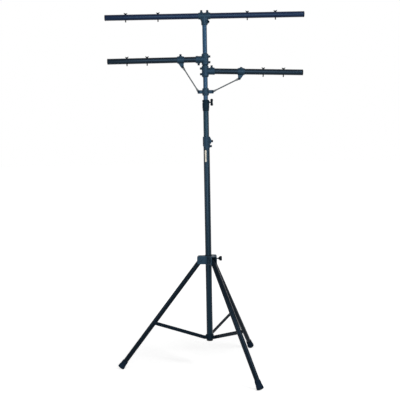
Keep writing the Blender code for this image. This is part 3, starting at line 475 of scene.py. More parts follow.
def place(name, mesh, material, body, node="", matrix=None, creaseAngle=35, slot=""):
    mesh.materials.clear()
    mesh.materials.append(material)
    mesh.shade_smooth()
    mesh.set_sharp_from_angle(angle=radians(creaseAngle))
    piece = addObject(name, mesh)
    piece.matrix_world = matrix or Matrix.Identity(4)
    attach(piece, body)
    slot or slotOf[material.name]
    if node:
        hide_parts(node)


def placeCast(name, mesh, body, node, matrix, material=castPaint):
    # Only a casting's or a moulding's sharpest edges stay sharp
    place(name, mesh, material, body, node, matrix, 60)


def dressNode(name, material):
    # A hidden piece whose CAD shape is already right gets its finish only
    for slot in nodes[name].material_slots:
        slot.material = material


# Fits, and the tubes that most pieces are fitted to
seatGap = 0.0003
headLift = 0.0002
castVoxel = 0.0006
pinRadius = 0.003
boltSize = {"across": 0.013, "head": 0.0065, "radius": 0.004}
rivetSize = {"head": 0.006, "rise": 0.0025}
baseRadius, middleRadius, topRadius = [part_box(name + "_tube")[1].x for name in ("base", "middle", "top")]
baseBore = baseRadius + seatGap
middleBore = middleRadius + seatGap
topBore = topRadius + seatGap


def castMesh(parts, cuts, smooth=3, keep=0.4):
    # The parts of a casting are joined, then bored
    return carve(carve(parts[0], parts[1:]), (), cuts, castVoxel, smooth, keep)


def drillMesh(radius, low, high, matrix=None, sides=32):
    # The cutter for a hole round a bolt or pin
    mesh = rodMesh(radius + seatGap, low, high, sides)
    return moved(mesh, matrix) if matrix else mesh


def sleeveMesh(outer, half, inset, chamfer, soft):
    return solidMesh([(outer - inset, -half), (outer, chamfer - half), (outer, half - chamfer),
                      (outer - inset, half)], 96, soft)


def steppedBore(wide, narrow, low, high):
    # The space in a collar: the wider tube ends just below the step, and the narrower one goes on
    return solidMesh([(wide, low), (wide, seatGap), (narrow, seatGap), (narrow, high)], 96, 0)


def boltPiece(name, body, axis, reach, bore, node=""):
    # A hexagon bolt along the axis: its head sits on a boss of that reach, its tip is at the bore
    head = moved(hexHeadMesh(boltSize["across"], boltSize["head"]), at(z=headLift))
    shank = rodMesh(boltSize["radius"], bore - reach, 0.001, 32)
    place(name, joinedMesh(head, shank), blackSteel, body, node, axis @ at(z=reach))


def rivetHeadMesh(height, radius=rivetSize["head"]):
    profile = [(0, -headLift), (radius, -headLift)]
    profile += scaled([(1, 0.25), (0.86, 0.62), (0.55, 0.92), (0, 1)], radius, rivetSize["rise"])
    return moved(turnedMesh(profile, 40, 0.0006), at(z=height))


# Mast
mast = {"wall": 0.0015, "rim": 0.0005}


def buildMast():
    # Each tube gets its own copy of the paint, paler higher up: painted light
    for size, body, paint in (("base", "mast_base", basePaintWithPaintedLight), ("middle", "middle_mast", middlePaintWithPaintedLight),
                              ("top", "top_mast", topPaintWithPaintedLight)):
        low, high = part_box(size + "_tube")
        mesh = tubeMesh(high.x, high.x - mast["wall"], low.z, high.z, 72, mast["rim"])
        place(size + "Tube", mesh, paint, body, size + "_tube")
    dressNode("middle_tube_guide", nylon)
    dressNode("top_tube_guide", nylon)


# Lower collar: a casting with a pointed lower edge and a wedge that carries the knob
lowerCollar = {"wall": 0.003, "below": 0.048, "above": 0.033, "edge": 0.0015, "pointX": 0.005,
               "slope": 0.044, "wedgeReach": 0.031, "wedgeWidth": 0.014, "wedgeTop": 0.0357,
               "noseTop": 0.013, "noseLow": -0.003, "wedgeLow": -0.017, "knobHeight": 0.0055,
               "knobRadius": 0.007, "knobThickness": 0.009, "boltDrop": 0.025, "bossRise": 0.0038,
               "studPitch": 0.001}


def lowerCollarMesh(outer, seat):
    c = lowerCollar
    wide, tip, low = 2 * outer, c["wedgeReach"], -c["below"]
    body = solidMesh([(outer, low), (outer, c["above"] - c["edge"]), (outer - c["edge"], c["above"])],
                     96, 0)
    # Two cuts leave the collar's pointed lower edge
    wedges = [plateMesh([(side * wide, low + c["slope"]), (c["pointX"], low), (c["pointX"], 2 * low),
                         (side * wide, 2 * low)], -wide, wide, 0) for side in (-1, 1)]
    root = baseBore + c["wall"] / 4
    corners = [(root, c["wedgeLow"]), (tip, c["noseLow"]), (tip, c["noseTop"]), (root, c["wedgeTop"])]
    half = c["wedgeWidth"] / 2
    wedge = plateMesh(softCorners(corners, 0.002, True), -half, half, 0.0015)
    boltAxis = at(z=-c["boltDrop"]) @ toX
    cuts = [steppedBore(baseBore, middleBore, 3 * low, -3 * low),
            drillMesh(pinRadius, 0, wide, at(z=c["knobHeight"]) @ toX, 48),
            drillMesh(boltSize["radius"], 0, wide, boltAxis, 48)]
    return carve(carve(body, cut=wedges), [wedge, moved(bossMesh(seat, outer, 0.004), boltAxis)], cuts,
                 castVoxel, 3, 0.4)


def buildLowerCollar():
    c = lowerCollar
    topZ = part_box("base_tube")[1].z
    outer = baseBore + c["wall"]
    seat = outer + c["bossRise"]
    placeCast("lowerCollar", lowerCollarMesh(outer, seat), "mast_base", "lower_collar", at(z=topZ))
    boltPiece("lowerCollarBolt", "mast_base", at(z=topZ - c["boltDrop"]) @ toX, seat, baseBore,
              "lower_collar_bolt")
    atKnob = at(z=topZ + c["knobHeight"]) @ toX
    tip = c["wedgeReach"]
    knob = lobedMesh(c["knobRadius"], c["knobThickness"], 4, 0.0011)
    place("lowerCollarKnob", knob, nylon, "collar_knob", "lower_collar_knob",
          atKnob @ at(z=tip + seatGap))
    stud = threadMesh(pinRadius, c["studPitch"], middleBore, tip + 0.003, tip - 0.001)
    place("lowerCollarStud", stud, blackSteel, "collar_knob", matrix=atKnob)


# Upper collar: a banded moulding, and the T-handle that clamps the top tube
upperCollar = {"below": 0.036, "above": 0.030, "wall": 0.0026, "rise": 0.0012,
               "handleHeight": 0.015, "bossRadius": 0.006, "bossReach": 0.024, "stemReach": 0.030,
               "halfLength": 0.0215, "endRadius": 0.0085, "waistRadius": 0.0068, "studPitch": 0.001}


def upperCollarMesh():
    c = upperCollar
    outer = middleBore + c["wall"]
    band = outer + c["rise"]
    low, high = -c["below"], c["above"]
    body = solidMesh([(outer - 0.001, low), (outer, low + 0.003), (outer, low + 0.014),
                      (band, low + 0.016), (band, high - 0.020), (outer, high - 0.018),
                      (outer, high - 0.013), (band, high - 0.011), (band, high - 0.002),
                      (band - 0.002, high)], 96, 0.0008)
    radius = c["bossRadius"]
    boss = solidMesh([(radius + 0.0015, 0), (radius + 0.0012, 0.0195), (radius, 0.0215),
                      (radius, c["bossReach"])], 48)
    # Grip ribs run round the lower skirt, between the lower edge and the first band
    cuts = [turnedMesh([(outer - 0.0006, low + z), (outer + 0.001, low + z - 0.0006),
                        (outer + 0.001, low + z + 0.0006)], 96, 0) for z in (0.006, 0.0085, 0.011)]
    atBoss = at(z=c["handleHeight"]) @ toX
    cuts += [steppedBore(middleBore, topBore, 2 * low, 2 * high), drillMesh(pinRadius, 0, 0.05, atBoss, 48)]
    return carve(body, [moved(boss, atBoss)], cuts, 0.0005, 2, 0.4)


def buildUpperCollar():
    c = upperCollar
    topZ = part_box("middle_tube")[1].z
    placeCast("upperCollar", upperCollarMesh(), "middle_mast", "upper_collar", at(z=topZ), collarPlastic)
    end, wide, start = c["halfLength"], c["endRadius"], c["bossReach"]
    half = [(c["waistRadius"], 0.004), (wide * 0.95, end - 0.011), (wide, end - 0.006),
            (wide * 0.7, end - 0.001), (0, end)]
    grip = turnedMesh([(r, -z) for r, z in reversed(half)] + half, 48, 0.0015)
    gripX = c["stemReach"] + c["waistRadius"] - 0.001
    stem = solidMesh([(0.0055, start + seatGap), (0.0043, start + 0.003), (0.0046, gripX)], 48, 0.001)
    handle = carve(moved(grip, at(x=gripX)), [moved(stem, toX)], (), 0.00035, 3, 0.4)
    atHandle = at(z=topZ + c["handleHeight"])
    placeCast("upperCollarHandle", handle, "collar_handle", "upper_collar_handle", atHandle, nylon)
    stud = threadMesh(pinRadius, c["studPitch"], topBore, c["stemReach"], start + 0.0005)
    place("upperCollarStud", stud, blackSteel, "collar_handle", matrix=atHandle @ toX)


# Leg hub: three hooded lugs on a sliding sleeve
legHub = {"linerWall": 0.0015, "flange": 0.0022, "wall": 0.0046, "above": 0.027, "below": 0.025,
          "corner": 0.014, "lowCorner": 0.004, "lugMargin": 0.022, "earWall": 0.0045, "earPlay": 0.0005,
          "swingPlay": 0.0012, "boltRadius": 0.004, "bossRadius": 0.008, "bossReach": 0.044,
          "knobHeight": 0.008, "knobRadius": 0.0145, "knobThickness": 0.017, "knobReach": 0.066,
          "neck": 0.005, "neckRadius": 0.007, "flareRadius": 0.010, "studPitch": 0.00125}
leg = {"radius": 0.015, "wall": 0.0015, "overrun": 0.014, "bootFloor": 0.017, "braceAt": 0.482}
legSides = {"left": pi, "front": -pi / 3, "back": pi / 3}


def legHubMesh(pivotRadius, bore, earInner, earOuter):
    h = legHub
    core = bore + h["wall"]
    reach = pivotRadius + h["lugMargin"]
    top, low = h["above"], -h["below"]
    outline = [(0, low), (reach - h["lowCorner"], low), (reach, low + h["lowCorner"])]
    outline += arcPoints(reach - h["corner"], top - h["corner"], h["corner"], 0, 90, 12) + [(0, top)]
    # The slot leaves room for the leg's end to swing under the hood
    roof = hypot(leg["overrun"], leg["radius"]) + h["swingPlay"]
    slot = slotMesh(core + seatGap, earInner, 3 * low, roof, 2 * reach)
    hole = drillMesh(h["boltRadius"], -0.05, 0.05, at(x=pivotRadius) @ toY, 48)
    atKnob = at(z=h["knobHeight"]) @ toX
    angles = legSides.values()
    parts = [rodMesh(core, low, top, 96, 0.0015),
             moved(rodMesh(h["bossRadius"], 0, h["bossReach"], 48, 0.001), atKnob)]
    parts += allRound(plateMesh(outline, -earOuter, earOuter, 0.0012), angles)
    cuts = [rodMesh(bore, 2 * low, 2 * top, 96), drillMesh(h["boltRadius"], 0, 0.1, atKnob, 48)]
    return castMesh(parts, cuts + allRound(slot, angles) + allRound(hole, angles), 4, 0.35)


def buildLegHub():
    h = legHub
    pivot = Vector(joints["leg_left_fold"]["pos_m"])
    matrix = at(z=pivot.z)
    outer = baseBore + h["linerWall"]
    earInner = leg["radius"] + h["earPlay"]
    earOuter = earInner + h["earWall"]
    hub = legHubMesh(abs(pivot.x), outer + seatGap, earInner, earOuter)
    placeCast("legHub", hub, "leg_carrier", "leg_hub", matrix)
    # The liner's flange stands on the hub's top face
    under = h["above"] + seatGap
    rim, top = outer + h["flange"], under + h["flange"]
    liner = turnedMesh([(baseBore, -h["below"]), (outer, -h["below"]), (outer, under), (rim, under),
                        (rim, top), (baseBore, top)], 72, 0.0004)
    place("legHubLiner", liner, nylon, "leg_carrier", "leg_hub_liner", matrix)
    head = hexHeadMesh(boltSize["across"], boltSize["head"])
    shank = rodMesh(h["boltRadius"], -earOuter - boltSize["head"] - 0.0014, earOuter + 0.002, 32, 0.0006)
    nut = moved(head, at(z=-earOuter - seatGap) @ turnOver)
    bolt = joinedMesh(moved(head, at(z=earOuter + seatGap)), shank, nut)
    for side, angle in legSides.items():
        # Painted over together with the hub
        place("legPivotBolt_" + side, bolt.copy(), castPaint, "leg_carrier", "leg_pivot_bolt_" + side,
              matrix @ aboutZ(angle) @ at(x=abs(pivot.x)) @ toY, slot="black_steel")
    buildHubKnob(at(z=pivot.z + h["knobHeight"]) @ toX, outer + 2 * seatGap)


def buildHubKnob(matrix, studTip):
    h = legHub
    reach, start = h["knobReach"], h["knobReach"] - h["neck"]
    knob = moved(lobedMesh(h["knobRadius"], h["knobThickness"], 6, 0.0026), at(z=reach))
    neck = solidMesh([(h["neckRadius"], start), (h["flareRadius"], reach + 0.0015)], 48)
    place("legHubKnob", carve(knob, [neck]), nylon, "leg_carrier_knob", "leg_hub_knob", matrix)
    stud = threadMesh(h["boltRadius"], h["studPitch"], studTip, reach, start)
    place("legHubStud", stud, blackSteel, "leg_carrier_knob", matrix=matrix)


# Legs with their boots, and the flat braces beside them
boot = {"radius": 0.0212, "rim": 0.0022, "swell": 0.008, "waistRadius": 0.0195, "waist": 0.022,
        "neckRadius": 0.0172, "length": 0.050, "ribs": 4, "ribStart": 0.0255, "ribStep": 0.0045}
brace = {"width": 0.022, "thickness": 0.003}


def bootMesh():
    # A moulded boot from its sole up: a rounded rim, a tapered skirt and turned ribs
    b = boot
    radius, neck, top = b["radius"], b["neckRadius"], b["length"]
    profile = [(radius * 0.7, 0.001), (radius * 0.74, 0), (radius - b["rim"], 0), (radius, b["rim"]),
               (radius, b["swell"]), (b["waistRadius"], b["waist"])]
    for k in range(b["ribs"]):
        z = b["ribStart"] + b["ribStep"] * k
        profile += [(neck + 0.0012, z), (neck + 0.0012, z + 0.0022), (neck, z + 0.0026), (neck, z + 0.0040)]
    inner = leg["radius"] + seatGap
    profile += [(neck, top - 0.0025), (neck + 0.0006, top - 0.002), (neck + 0.0006, top), (inner, top),
                (inner, leg["bootFloor"])]
    return solidMesh(profile, 72, 0.0009)


def buildLegs():
    for side in legSides:
        joint = joints[f"leg_{side}_fold"]
        pivot = Vector(joint["pos_m"])
        sole = Vector(mounts["foot_sole_" + side]["pos_m"])
        across = Vector(joint["axis"])
        matrix = axesMatrix(pivot, pivot - sole, across)
        length = (pivot - sole).length
        tube = tubeMesh(leg["radius"], leg["radius"] - leg["wall"], leg["bootFloor"] - length + seatGap,
                        leg["overrun"], 64, 0.0006)
        tube = carve(tube, (), [drillMesh(legHub["boltRadius"], -0.03, 0.03, toY)])
        # The legs' darker copy of the paint is painted shade
        place("legTube_" + side, tube, legPaintWithPaintedShade, side + "_leg", "leg_" + side, matrix)
        # The boot keeps world coordinates, so that the rubber's Z is its height above the floor
        place("footBoot_" + side, moved(bootMesh(), matrix @ at(z=-length)), rubber, side + "_leg",
              "foot_" + side)
        buildBrace(side, pivot, sole, across)


def buildBrace(side, legPivot, sole, across):
    pivot = Vector(joints[f"brace_{side}_fold"]["pos_m"])
    radial = Vector((sole.x, sole.y, 0)).normalized()
    sideways = (pivot - radial * pivot.dot(radial) - Vector((0, 0, pivot.z))).dot(across)
    far = legPivot + (sole - legPivot).normalized() * leg["braceAt"] + across * sideways
    length = (far - pivot).length
    # The strip runs along local X
    matrix = axesMatrix(pivot, far - pivot, across) @ toMinusX
    half = brace["width"] / 2
    thick = brace["thickness"] / 2
    outline = arcPoints(0, 0, half, 90, 270, 20) + arcPoints(length, 0, half, -90, 90, 20)
    drill = drillMesh(pinRadius, -0.01, 0.01, toY)
    strip = carve(plateMesh(outline, -thick, thick), (), [drill, moved(drill, at(x=length))])
    place("braceStrip_" + side, strip, blackSteel, side + "_brace", "brace_" + side, matrix)
    rivet = joinedMesh(rivetHeadMesh(thick), rodMesh(pinRadius, -thick, thick + 0.0004, 24))
    place("braceRivet_" + side, rivet, blackSteel, side + "_brace", matrix=matrix @ at(x=length) @ toY)


# Bottom hub, its rivets and the cap under the mast
bottomHub = {"wall": 0.0047, "height": 0.030, "earThickness": 0.009, "tailRadius": 0.0048}
bottomCap = {"thickness": 0.0077, "overhang": 0.0005, "spigot": 0.020}


def buildBottomHub():
    b = bottomHub
    pivot = Vector(joints["brace_left_fold"]["pos_m"])
    pivotRadius = abs(pivot.x)
    half, earRadius = b["height"] / 2, brace["width"] / 2
    face, tail = leg["radius"], leg["radius"] - b["earThickness"]
    outline = [(0, -earRadius)] + arcPoints(pivotRadius, 0, earRadius, -90, 90, 20) + [(0, earRadius)]
    ear = plateMesh(outline, tail, face, 0.0008)
    hole = drillMesh(pinRadius, 0, 0.05, at(x=pivotRadius) @ toY)
    angles = legSides.values()
    body = castMesh([rodMesh(baseBore + b["wall"], -half, half, 96, 0.0015)] + allRound(ear, angles),
                    [rodMesh(baseBore, -2 * half, 2 * half, 96)] + allRound(hole, angles))
    # The bottom hub gets the darker copy of the casting paint: painted shade
    placeCast("bottomHub", body, "mast_base", "bottom_hub", at(z=pivot.z), shadedCastPaint)
    strip = face + seatGap + brace["thickness"]
    foot = moved(rivetHeadMesh(seatGap - tail, b["tailRadius"]), turnOver)
    pin = rodMesh(pinRadius, tail - 0.0005, strip + 0.0005, 24)
    rivet = joinedMesh(rivetHeadMesh(strip + seatGap), pin, foot)
    for side, angle in legSides.items():
        place("bottomRivet_" + side, rivet.copy(), blackSteel, "mast_base", "brace_hub_rivet_" + side,
              at(z=pivot.z) @ aboutZ(angle) @ at(x=pivotRadius) @ toY)


def buildBottomCap():
    rim = baseRadius + bottomCap["overhang"]
    spigot = baseRadius - mast["wall"] - seatGap
    low = -bottomCap["thickness"]
    cap = solidMesh([(rim - 0.006, low + 0.0012), (rim - 0.0065, low), (rim - 0.0015, low),
                     (rim, low + 0.0015), (rim, -seatGap), (spigot, -seatGap),
                     (spigot, bottomCap["spigot"])], 72)
    place("bottomCap", cap, nylon, "mast_base", "bottom_cap", at(z=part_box("base_tube")[0].z))


# T-bar: adapter, two half bars, end caps and wing screws
tee = {"sleeveWall": 0.0022, "sleeveHalf": 0.0365, "socketDepth": 0.054, "socketWall": 0.005,
       "bossOffset": 0.018, "bossRise": 0.0075, "postBoltDrop": 0.036, "sideRise": 0.006,
       "sideBoss": 0.0115, "postBoltAngle": radians(-30), "neckLow": 0.036, "neckTop": 0.012,
       "neckHalf": 0.033}
bar = {"radius": 0.0175, "wall": 0.0015, "capThickness": 0.005, "capOverhang": 0.0004,
       "capSpigot": 0.018}
wingScrew = {"stud": 0.004, "pitch": 0.00125, "below": 0.012, "baseRadius": 0.0065,
             "topRadius": 0.0052, "height": 0.0065, "span": 0.011, "wingHeight": 0.010,
             "thickness": 0.003, "turn": radians(22)}
barBore = bar["radius"] + seatGap


def capMesh():
    # Domed push-in cap with a shallow dish, along +Z from the bar's end
    rim = bar["radius"] + bar["capOverhang"]
    spigot, low = bar["radius"] - bar["wall"] - seatGap, -bar["capSpigot"]
    out = seatGap + bar["capThickness"]
    return turnedMesh([(0, out - 0.0012), (rim * 0.60, out - 0.0010), (rim * 0.66, out),
                       (rim - 0.002, out), (rim, out - 0.002), (rim, seatGap), (spigot, seatGap),
                       (spigot, low), (spigot - 0.002, low), (spigot - 0.002, -0.001), (0, -0.001)],
                      64, 0.0007)


def placeBar(name, node, paint, body, matrix, start, end, places):
    # A bar along +X from the mast side, drilled for its studs, and its end cap
    tube = moved(tubeMesh(bar["radius"], bar["radius"] - bar["wall"], start, end, 72, 0.0005), toX)
    tube = carve(tube, (), [drillMesh(wingScrew["stud"], -0.05, 0.05, at(x=x)) for x in places])
    side = name[name.index("_"):]
    place(name, tube, paint, body, node + side, matrix)
    place(name.replace("_", "Cap_"), capMesh(), nylon, body, node + "_cap" + side,
          matrix @ at(x=end) @ toX)


def wingHeadMesh():
    w = wingScrew
    core = solidMesh([(w["baseRadius"], 0), (w["baseRadius"], 0.0012), (w["topRadius"], w["height"])],
                     48, 0.0006)
    span, tall, thick = w["span"], w["wingHeight"], w["thickness"] / 2
    half = [(0.0040, 0.0012), (span * 0.85, tall * 0.30), (span, tall * 0.60), (span * 0.97, tall),
            (span * 0.68, tall * 0.92), (0.0044, w["height"] * 0.80)]
    wings = [plateMesh(softCorners([(s * x, z) for x, z in half], 0.0014, True, 4), -thick, thick, 0.0007)
             for s in (1, -1)]
    return carve(core, wings, (), 0.0003, 3, 0.35)


wingHead = wingHeadMesh()
wingStud = threadMesh(wingScrew["stud"], wingScrew["pitch"],
                      -2 * bar["radius"] - wingScrew["below"] - seatGap, 0.002, -2 * bar["radius"] + 0.004)


def placeWingScrew(name, node, body, index, up):
    seat = Vector(joints[node + "_turn"]["pos_m"])
    turn = wingScrew["turn"] * (1 if index % 2 else -1)
    matrix = axesMatrix(seat, up, Vector((0, 1, 0))) @ aboutZ(turn)
    place(name + "_head", wingHead.copy(), nylon, body, node, matrix, 60)
    place(name + "_stud", wingStud.copy(), zinc, body, matrix=matrix)


def teeBolts():
    # Each bolt's axis, its boss's reach and the bore that it clamps
    side = at(z=-tee["postBoltDrop"]) @ aboutZ(tee["postBoltAngle"]) @ toX
    bossTop = barBore + tee["sleeveWall"] + tee["bossRise"]
    return {"left": (at(x=-tee["bossOffset"]), bossTop, barBore),
            "right": (at(x=tee["bossOffset"]), bossTop, barBore),
            "post": (side, topBore + tee["socketWall"] + tee["sideRise"], topBore)}


def teeMesh(teeZ, bolts):
    t = tee
    sleeve, socket, foot = barBore + t["sleeveWall"], topBore + t["socketWall"], -t["socketDepth"]

    def widen(radius, height, angle):
        # The neck is round at its foot and as wide as the sleeve at its top
        share = max(0.0, min(1.0, (height + t["neckLow"]) / (t["neckLow"] - t["neckTop"]))) ** 1.7
        wide = radius * (1 + (t["neckHalf"] / socket - 1) * share)
        return 1 / hypot(cos(angle) / wide, sin(angle) / radius), height

    levels = [-t["neckLow"] + (t["neckLow"] - t["neckTop"]) * i / 10 for i in range(11)]
    side, sideReach = bolts["post"][:2]
    spread = [bolts["right"][0], bolts["left"][0]]
    boss = bossMesh(bolts["left"][1], sleeve + 0.001)
    parts = [moved(rodMesh(sleeve, -t["sleeveHalf"], t["sleeveHalf"], 96, 0.0008), toX),
             solidMesh([(socket - 0.0015, foot), (socket, foot + 0.0015), (socket, 0)], 96, 0.0006),
             moved(bossMesh(sideReach, socket + 0.001, 0.002, t["sideBoss"]), side),
             solidMesh([(socket, z) for z in levels], 96, 0, widen)] + [moved(boss, m) for m in spread]
    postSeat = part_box("top_tube")[1].z + seatGap - teeZ
    drill = drillMesh(boltSize["radius"], 0, 0.06)
    cuts = [moved(rodMesh(barBore, -0.1, 0.1, 96), toX), rodMesh(topBore, -0.1, postSeat, 96)]
    return castMesh(parts, cuts + [moved(drill, m) for m in [side] + spread], 3, 0.35)


def buildTBar():
    teeZ = joints["t_bar_swivel"]["pos_m"][2]
    matrix = at(z=teeZ)
    bolts = teeBolts()
    placeCast("teeAdapter", teeMesh(teeZ, bolts), "t_bar", "tee_adapter", matrix)
    for name, (axis, reach, bore) in bolts.items():
        boltPiece("teeBolt_" + name, "t_bar", matrix @ axis, reach, bore, "tee_bolt_" + name)
    seats = [joints[f"bar_screw_{i}_turn"]["pos_m"][0] for i in range(1, 5)]
    for side, sign in (("left", -1), ("right", 1)):
        start, end = sorted(abs(corner.x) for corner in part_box("t_bar_" + side))
        facing = matrix if sign > 0 else matrix @ aboutZ(pi)
        placeBar("tBar_" + side, "t_bar", barPaint, "t_bar", facing, start, end,
                 [abs(x) for x in seats if x * sign > 0])
    for i in range(1, 5):
        placeWingScrew(f"barScrew_{i}", f"bar_screw_{i}", f"wing_screw_bar_{i}", i, Vector((0, 0, 1)))


# Side arms: adapters on the mast, arms, strut clamps, struts and the ring
adapter = {"height": 0.070, "wall": 0.0067, "chamfer": 0.005, "web": 0.0045, "boltStep": 0.017,
           "clampRise": 0.0045, "armRise": 0.0075, "socketReach": 0.057, "socketWall": 0.0022,
           "rim": 0.014, "rimRise": 0.0012, "boltInset": 0.018, "armPlay": 0.001}
strutClamp = {"width": 0.042, "wall": 0.0035, "drop": 0.0425, "inset": 0.012, "below": 0.0075,
              "corner": 0.003, "gussetDrop": 0.016, "fork": 0.014, "rise": 0.006}
strut = {"length": 0.178, "radius": 0.004, "tongue": 0.020, "width": 0.013, "thickness": 0.0046}
strutRing = {"height": 0.043, "wall": 0.006, "earHeight": 0.021, "pinRadius": 0.042,
             "earMargin": 0.007, "corner": 0.005, "rise": 0.0038, "chamfer": 0.003}


def adapterBolts():
    # Each bolt's axis, its boss's reach and the bore that it clamps
    a = adapter
    outer, armBore = topBore + a["wall"] + a["clampRise"], bar["radius"] + a["armPlay"]
    axis = at(x=a["boltInset"] - a["socketReach"]) @ turnOver
    return {"upper": (at(z=a["boltStep"]) @ toX, outer, topBore),
            "lower": (at(z=-a["boltStep"]) @ toX, outer, topBore),
            "arm": (axis, armBore + a["socketWall"] + a["armRise"], armBore)}


def adapterMesh():
    a = adapter
    half = a["height"] / 2
    outer = topBore + a["wall"]
    armBore = bar["radius"] + a["armPlay"]
    radius = armBore + a["socketWall"]
    rim, rimStart, reach = radius + a["rimRise"], a["socketReach"] - a["rim"], a["socketReach"]
    body = sleeveMesh(outer, half, a["chamfer"] * 0.8, a["chamfer"], 0.001)
    socket = solidMesh([(radius, 0), (radius, rimStart - 0.002), (rim, rimStart), (rim, reach - 0.001),
                        (rim - 0.001, reach)], 96, 0.0006)
    bolts = adapterBolts()
    bosses = [moved(bossMesh(bolts[name][1], outer + 0.0005, 0.004), bolts[name][0])
              for name in ("upper", "lower")]
    bosses.append(moved(bossMesh(bolts["arm"][1], radius + 0.001, 0.005), bolts["arm"][0]))
    armSpace = moved(rodMesh(armBore, topBore + a["web"], 0.1, 96), toMinusX)
    return castMesh([body, moved(socket, toMinusX)] + bosses,
                    [rodMesh(topBore, -2 * half, 2 * half, 96), armSpace], 3, 0.35)


def buildAdapter(side, mesh):
    low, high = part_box("side_adapter_" + side)
    # The casting's box is even above and below the mast's bore, apart from the arm's bolt
    half = adapter["height"] / 2
    matrix = at(z=high.z - half) if side == "left" else at(z=low.z + half) @ Matrix.Rotation(pi, 4, "Y")
    placeCast("sideAdapter_" + side, mesh, "side_arms", "side_adapter_" + side, matrix)
    for name, (axis, reach, bore) in adapterBolts().items():
        boltPiece(f"adapterBolt_{side}_{name}", "side_arms", matrix @ axis, reach, bore)


def buildSideArm(side, sign):
    screws = [joints[f"{side}_arm_screw_{i}_turn"] for i in (1, 2)]
    up = Vector(screws[0]["axis"])
    outward = Vector((up.z * sign, 0, -up.x * sign))
    onAxis = [Vector(screw["pos_m"]) - up * barBore for screw in screws]
    # The arm's frame sits where its axis passes the middle of its socket
    innerEnd = topBore + adapter["web"]
    middle = (adapter["socketReach"] + innerEnd + seatGap) / 2
    origin = onAxis[0] - outward * ((onAxis[0].x * sign - middle) / (outward.x * sign))
    matrix = frameMatrix(origin, outward, up.cross(outward), up)
    # The right arm's box reaches a little past its end, because that arm droops
    past = 0.0005 if side == "right" else 0
    reach = max(abs(corner.x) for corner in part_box("side_arm_" + side))
    placeBar("sideArm_" + side, "side_arm", tubePaint, "side_arms", matrix,
             innerEnd + 3 * seatGap - middle, reach - middle - past,
             [(point - origin).dot(outward) for point in onAxis])
    for i in (1, 2):
        placeWingScrew(f"{side}ArmScrew_{i}", f"{side}_arm_screw_{i}", f"wing_screw_{side}_{i}", i, up)
    return matrix


def clampMesh():
    c = strutClamp
    outer = barBore + c["wall"]
    half, fork = c["width"] / 2, c["fork"] / 2
    tip = -c["drop"] - c["below"]
    inner, outerEdge = -c["inset"] - strut["width"] / 2, -c["inset"] + strut["width"] / 2
    outline = [(inner, -barBore / 2), (inner, tip), (outerEdge, tip), (half - 0.003, -c["gussetDrop"]),
               (half - 0.003, -barBore / 2)]
    lug = plateMesh(softCorners(outline, c["corner"], True, 4), -fork, fork, 0.001)
    slotTop = -c["drop"] + strut["width"] / 2 + 2 * seatGap
    slot = slotMesh(-0.05, strut["thickness"] / 2 + seatGap, 2 * tip, slotTop, 0.05)
    return castMesh([moved(rodMesh(outer, -half, half, 96, 0.0012), toX), lug,
                     bossMesh(outer + c["rise"], outer + 0.0005, 0.0095)],
                    [moved(rodMesh(barBore, -0.05, 0.05, 96), toX), slot,
                     drillMesh(boltSize["radius"], 0, 0.05)])


def buildClamp(side, matrix, mesh):
    placeCast("strutClamp_" + side, mesh, "side_arms", "strut_clamp_" + side, matrix)
    bossTop = barBore + strutClamp["wall"] + strutClamp["rise"]
    screwNode = "strut_clamp_screw_" + side
    if side == "left":
        boltPiece("strutClampBolt_left", "side_arms", matrix, bossTop, barBore, screwNode)
    else:
        # A headless screw with a hexagon socket, just below the boss's top
        screw = rodMesh(boltSize["radius"], barBore, bossTop - 0.001, 32)
        socket = moved(hexHeadMesh(0.004, 0.006), at(z=bossTop - 0.004))
        place("strutClampGrub_right", carve(screw, (), [socket]), blackSteel, "side_arms", screwNode, matrix)


def pinMesh():
    # A riveted pin across a fork, domed at both ends
    half = strutClamp["fork"] / 2
    head = rivetHeadMesh(half)
    return joinedMesh(head, moved(head, turnOver), rodMesh(pinRadius, -half, half, 24))


def strutMesh():
    # A rod pressed flat at both ends: the round section eases into each tongue
    s = strut
    half, flat = s["width"] / 2, s["thickness"] / 2
    sides, steps = 40, 14
    # Each ring has its x, half width, half height and how square its section is
    rings = [(-half * cos(a), half * sin(a), flat, 4)
             for a in [radians(d) for d in (8, 20, 35, 52, 70, 90)]]
    for i in range(steps + 1):
        t = i / steps
        ease = t * t * (3 - 2 * t)
        rings.append((s["tongue"] * 0.55 + (s["tongue"] * 0.9) * t, half + (s["radius"] - half) * ease,
                      flat + (s["radius"] - flat) * ease, 4 - 2 * ease))
    rings += [(s["length"] - x, w, h, p) for x, w, h, p in reversed(rings)]
    bm = bmesh.new()
    loops = []
    for x, wide, high, power in rings:
        loop = []
        for k in range(sides):
            angle = 2 * pi * k / sides
            c, d = cos(angle), sin(angle)
            scale = (abs(c) ** power + abs(d) ** power) ** (-1 / power)
            loop.append(bm.verts.new((x, high * scale * c, wide * scale * d)))
        loops.append(loop)
    for lower, upper in zip(loops, loops[1:]):
        bridge(bm, lower, upper)
    bm.faces.new(list(reversed(loops[0])))
    bm.faces.new(loops[-1])
    drill = drillMesh(pinRadius, -0.02, 0.02, toY)
    return carve(finishMesh(bm), (), [drill, moved(drill, at(x=s["length"]))])


def ringHeight():
    low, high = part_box("strut_ring")
    return (low.z + high.z) / 2


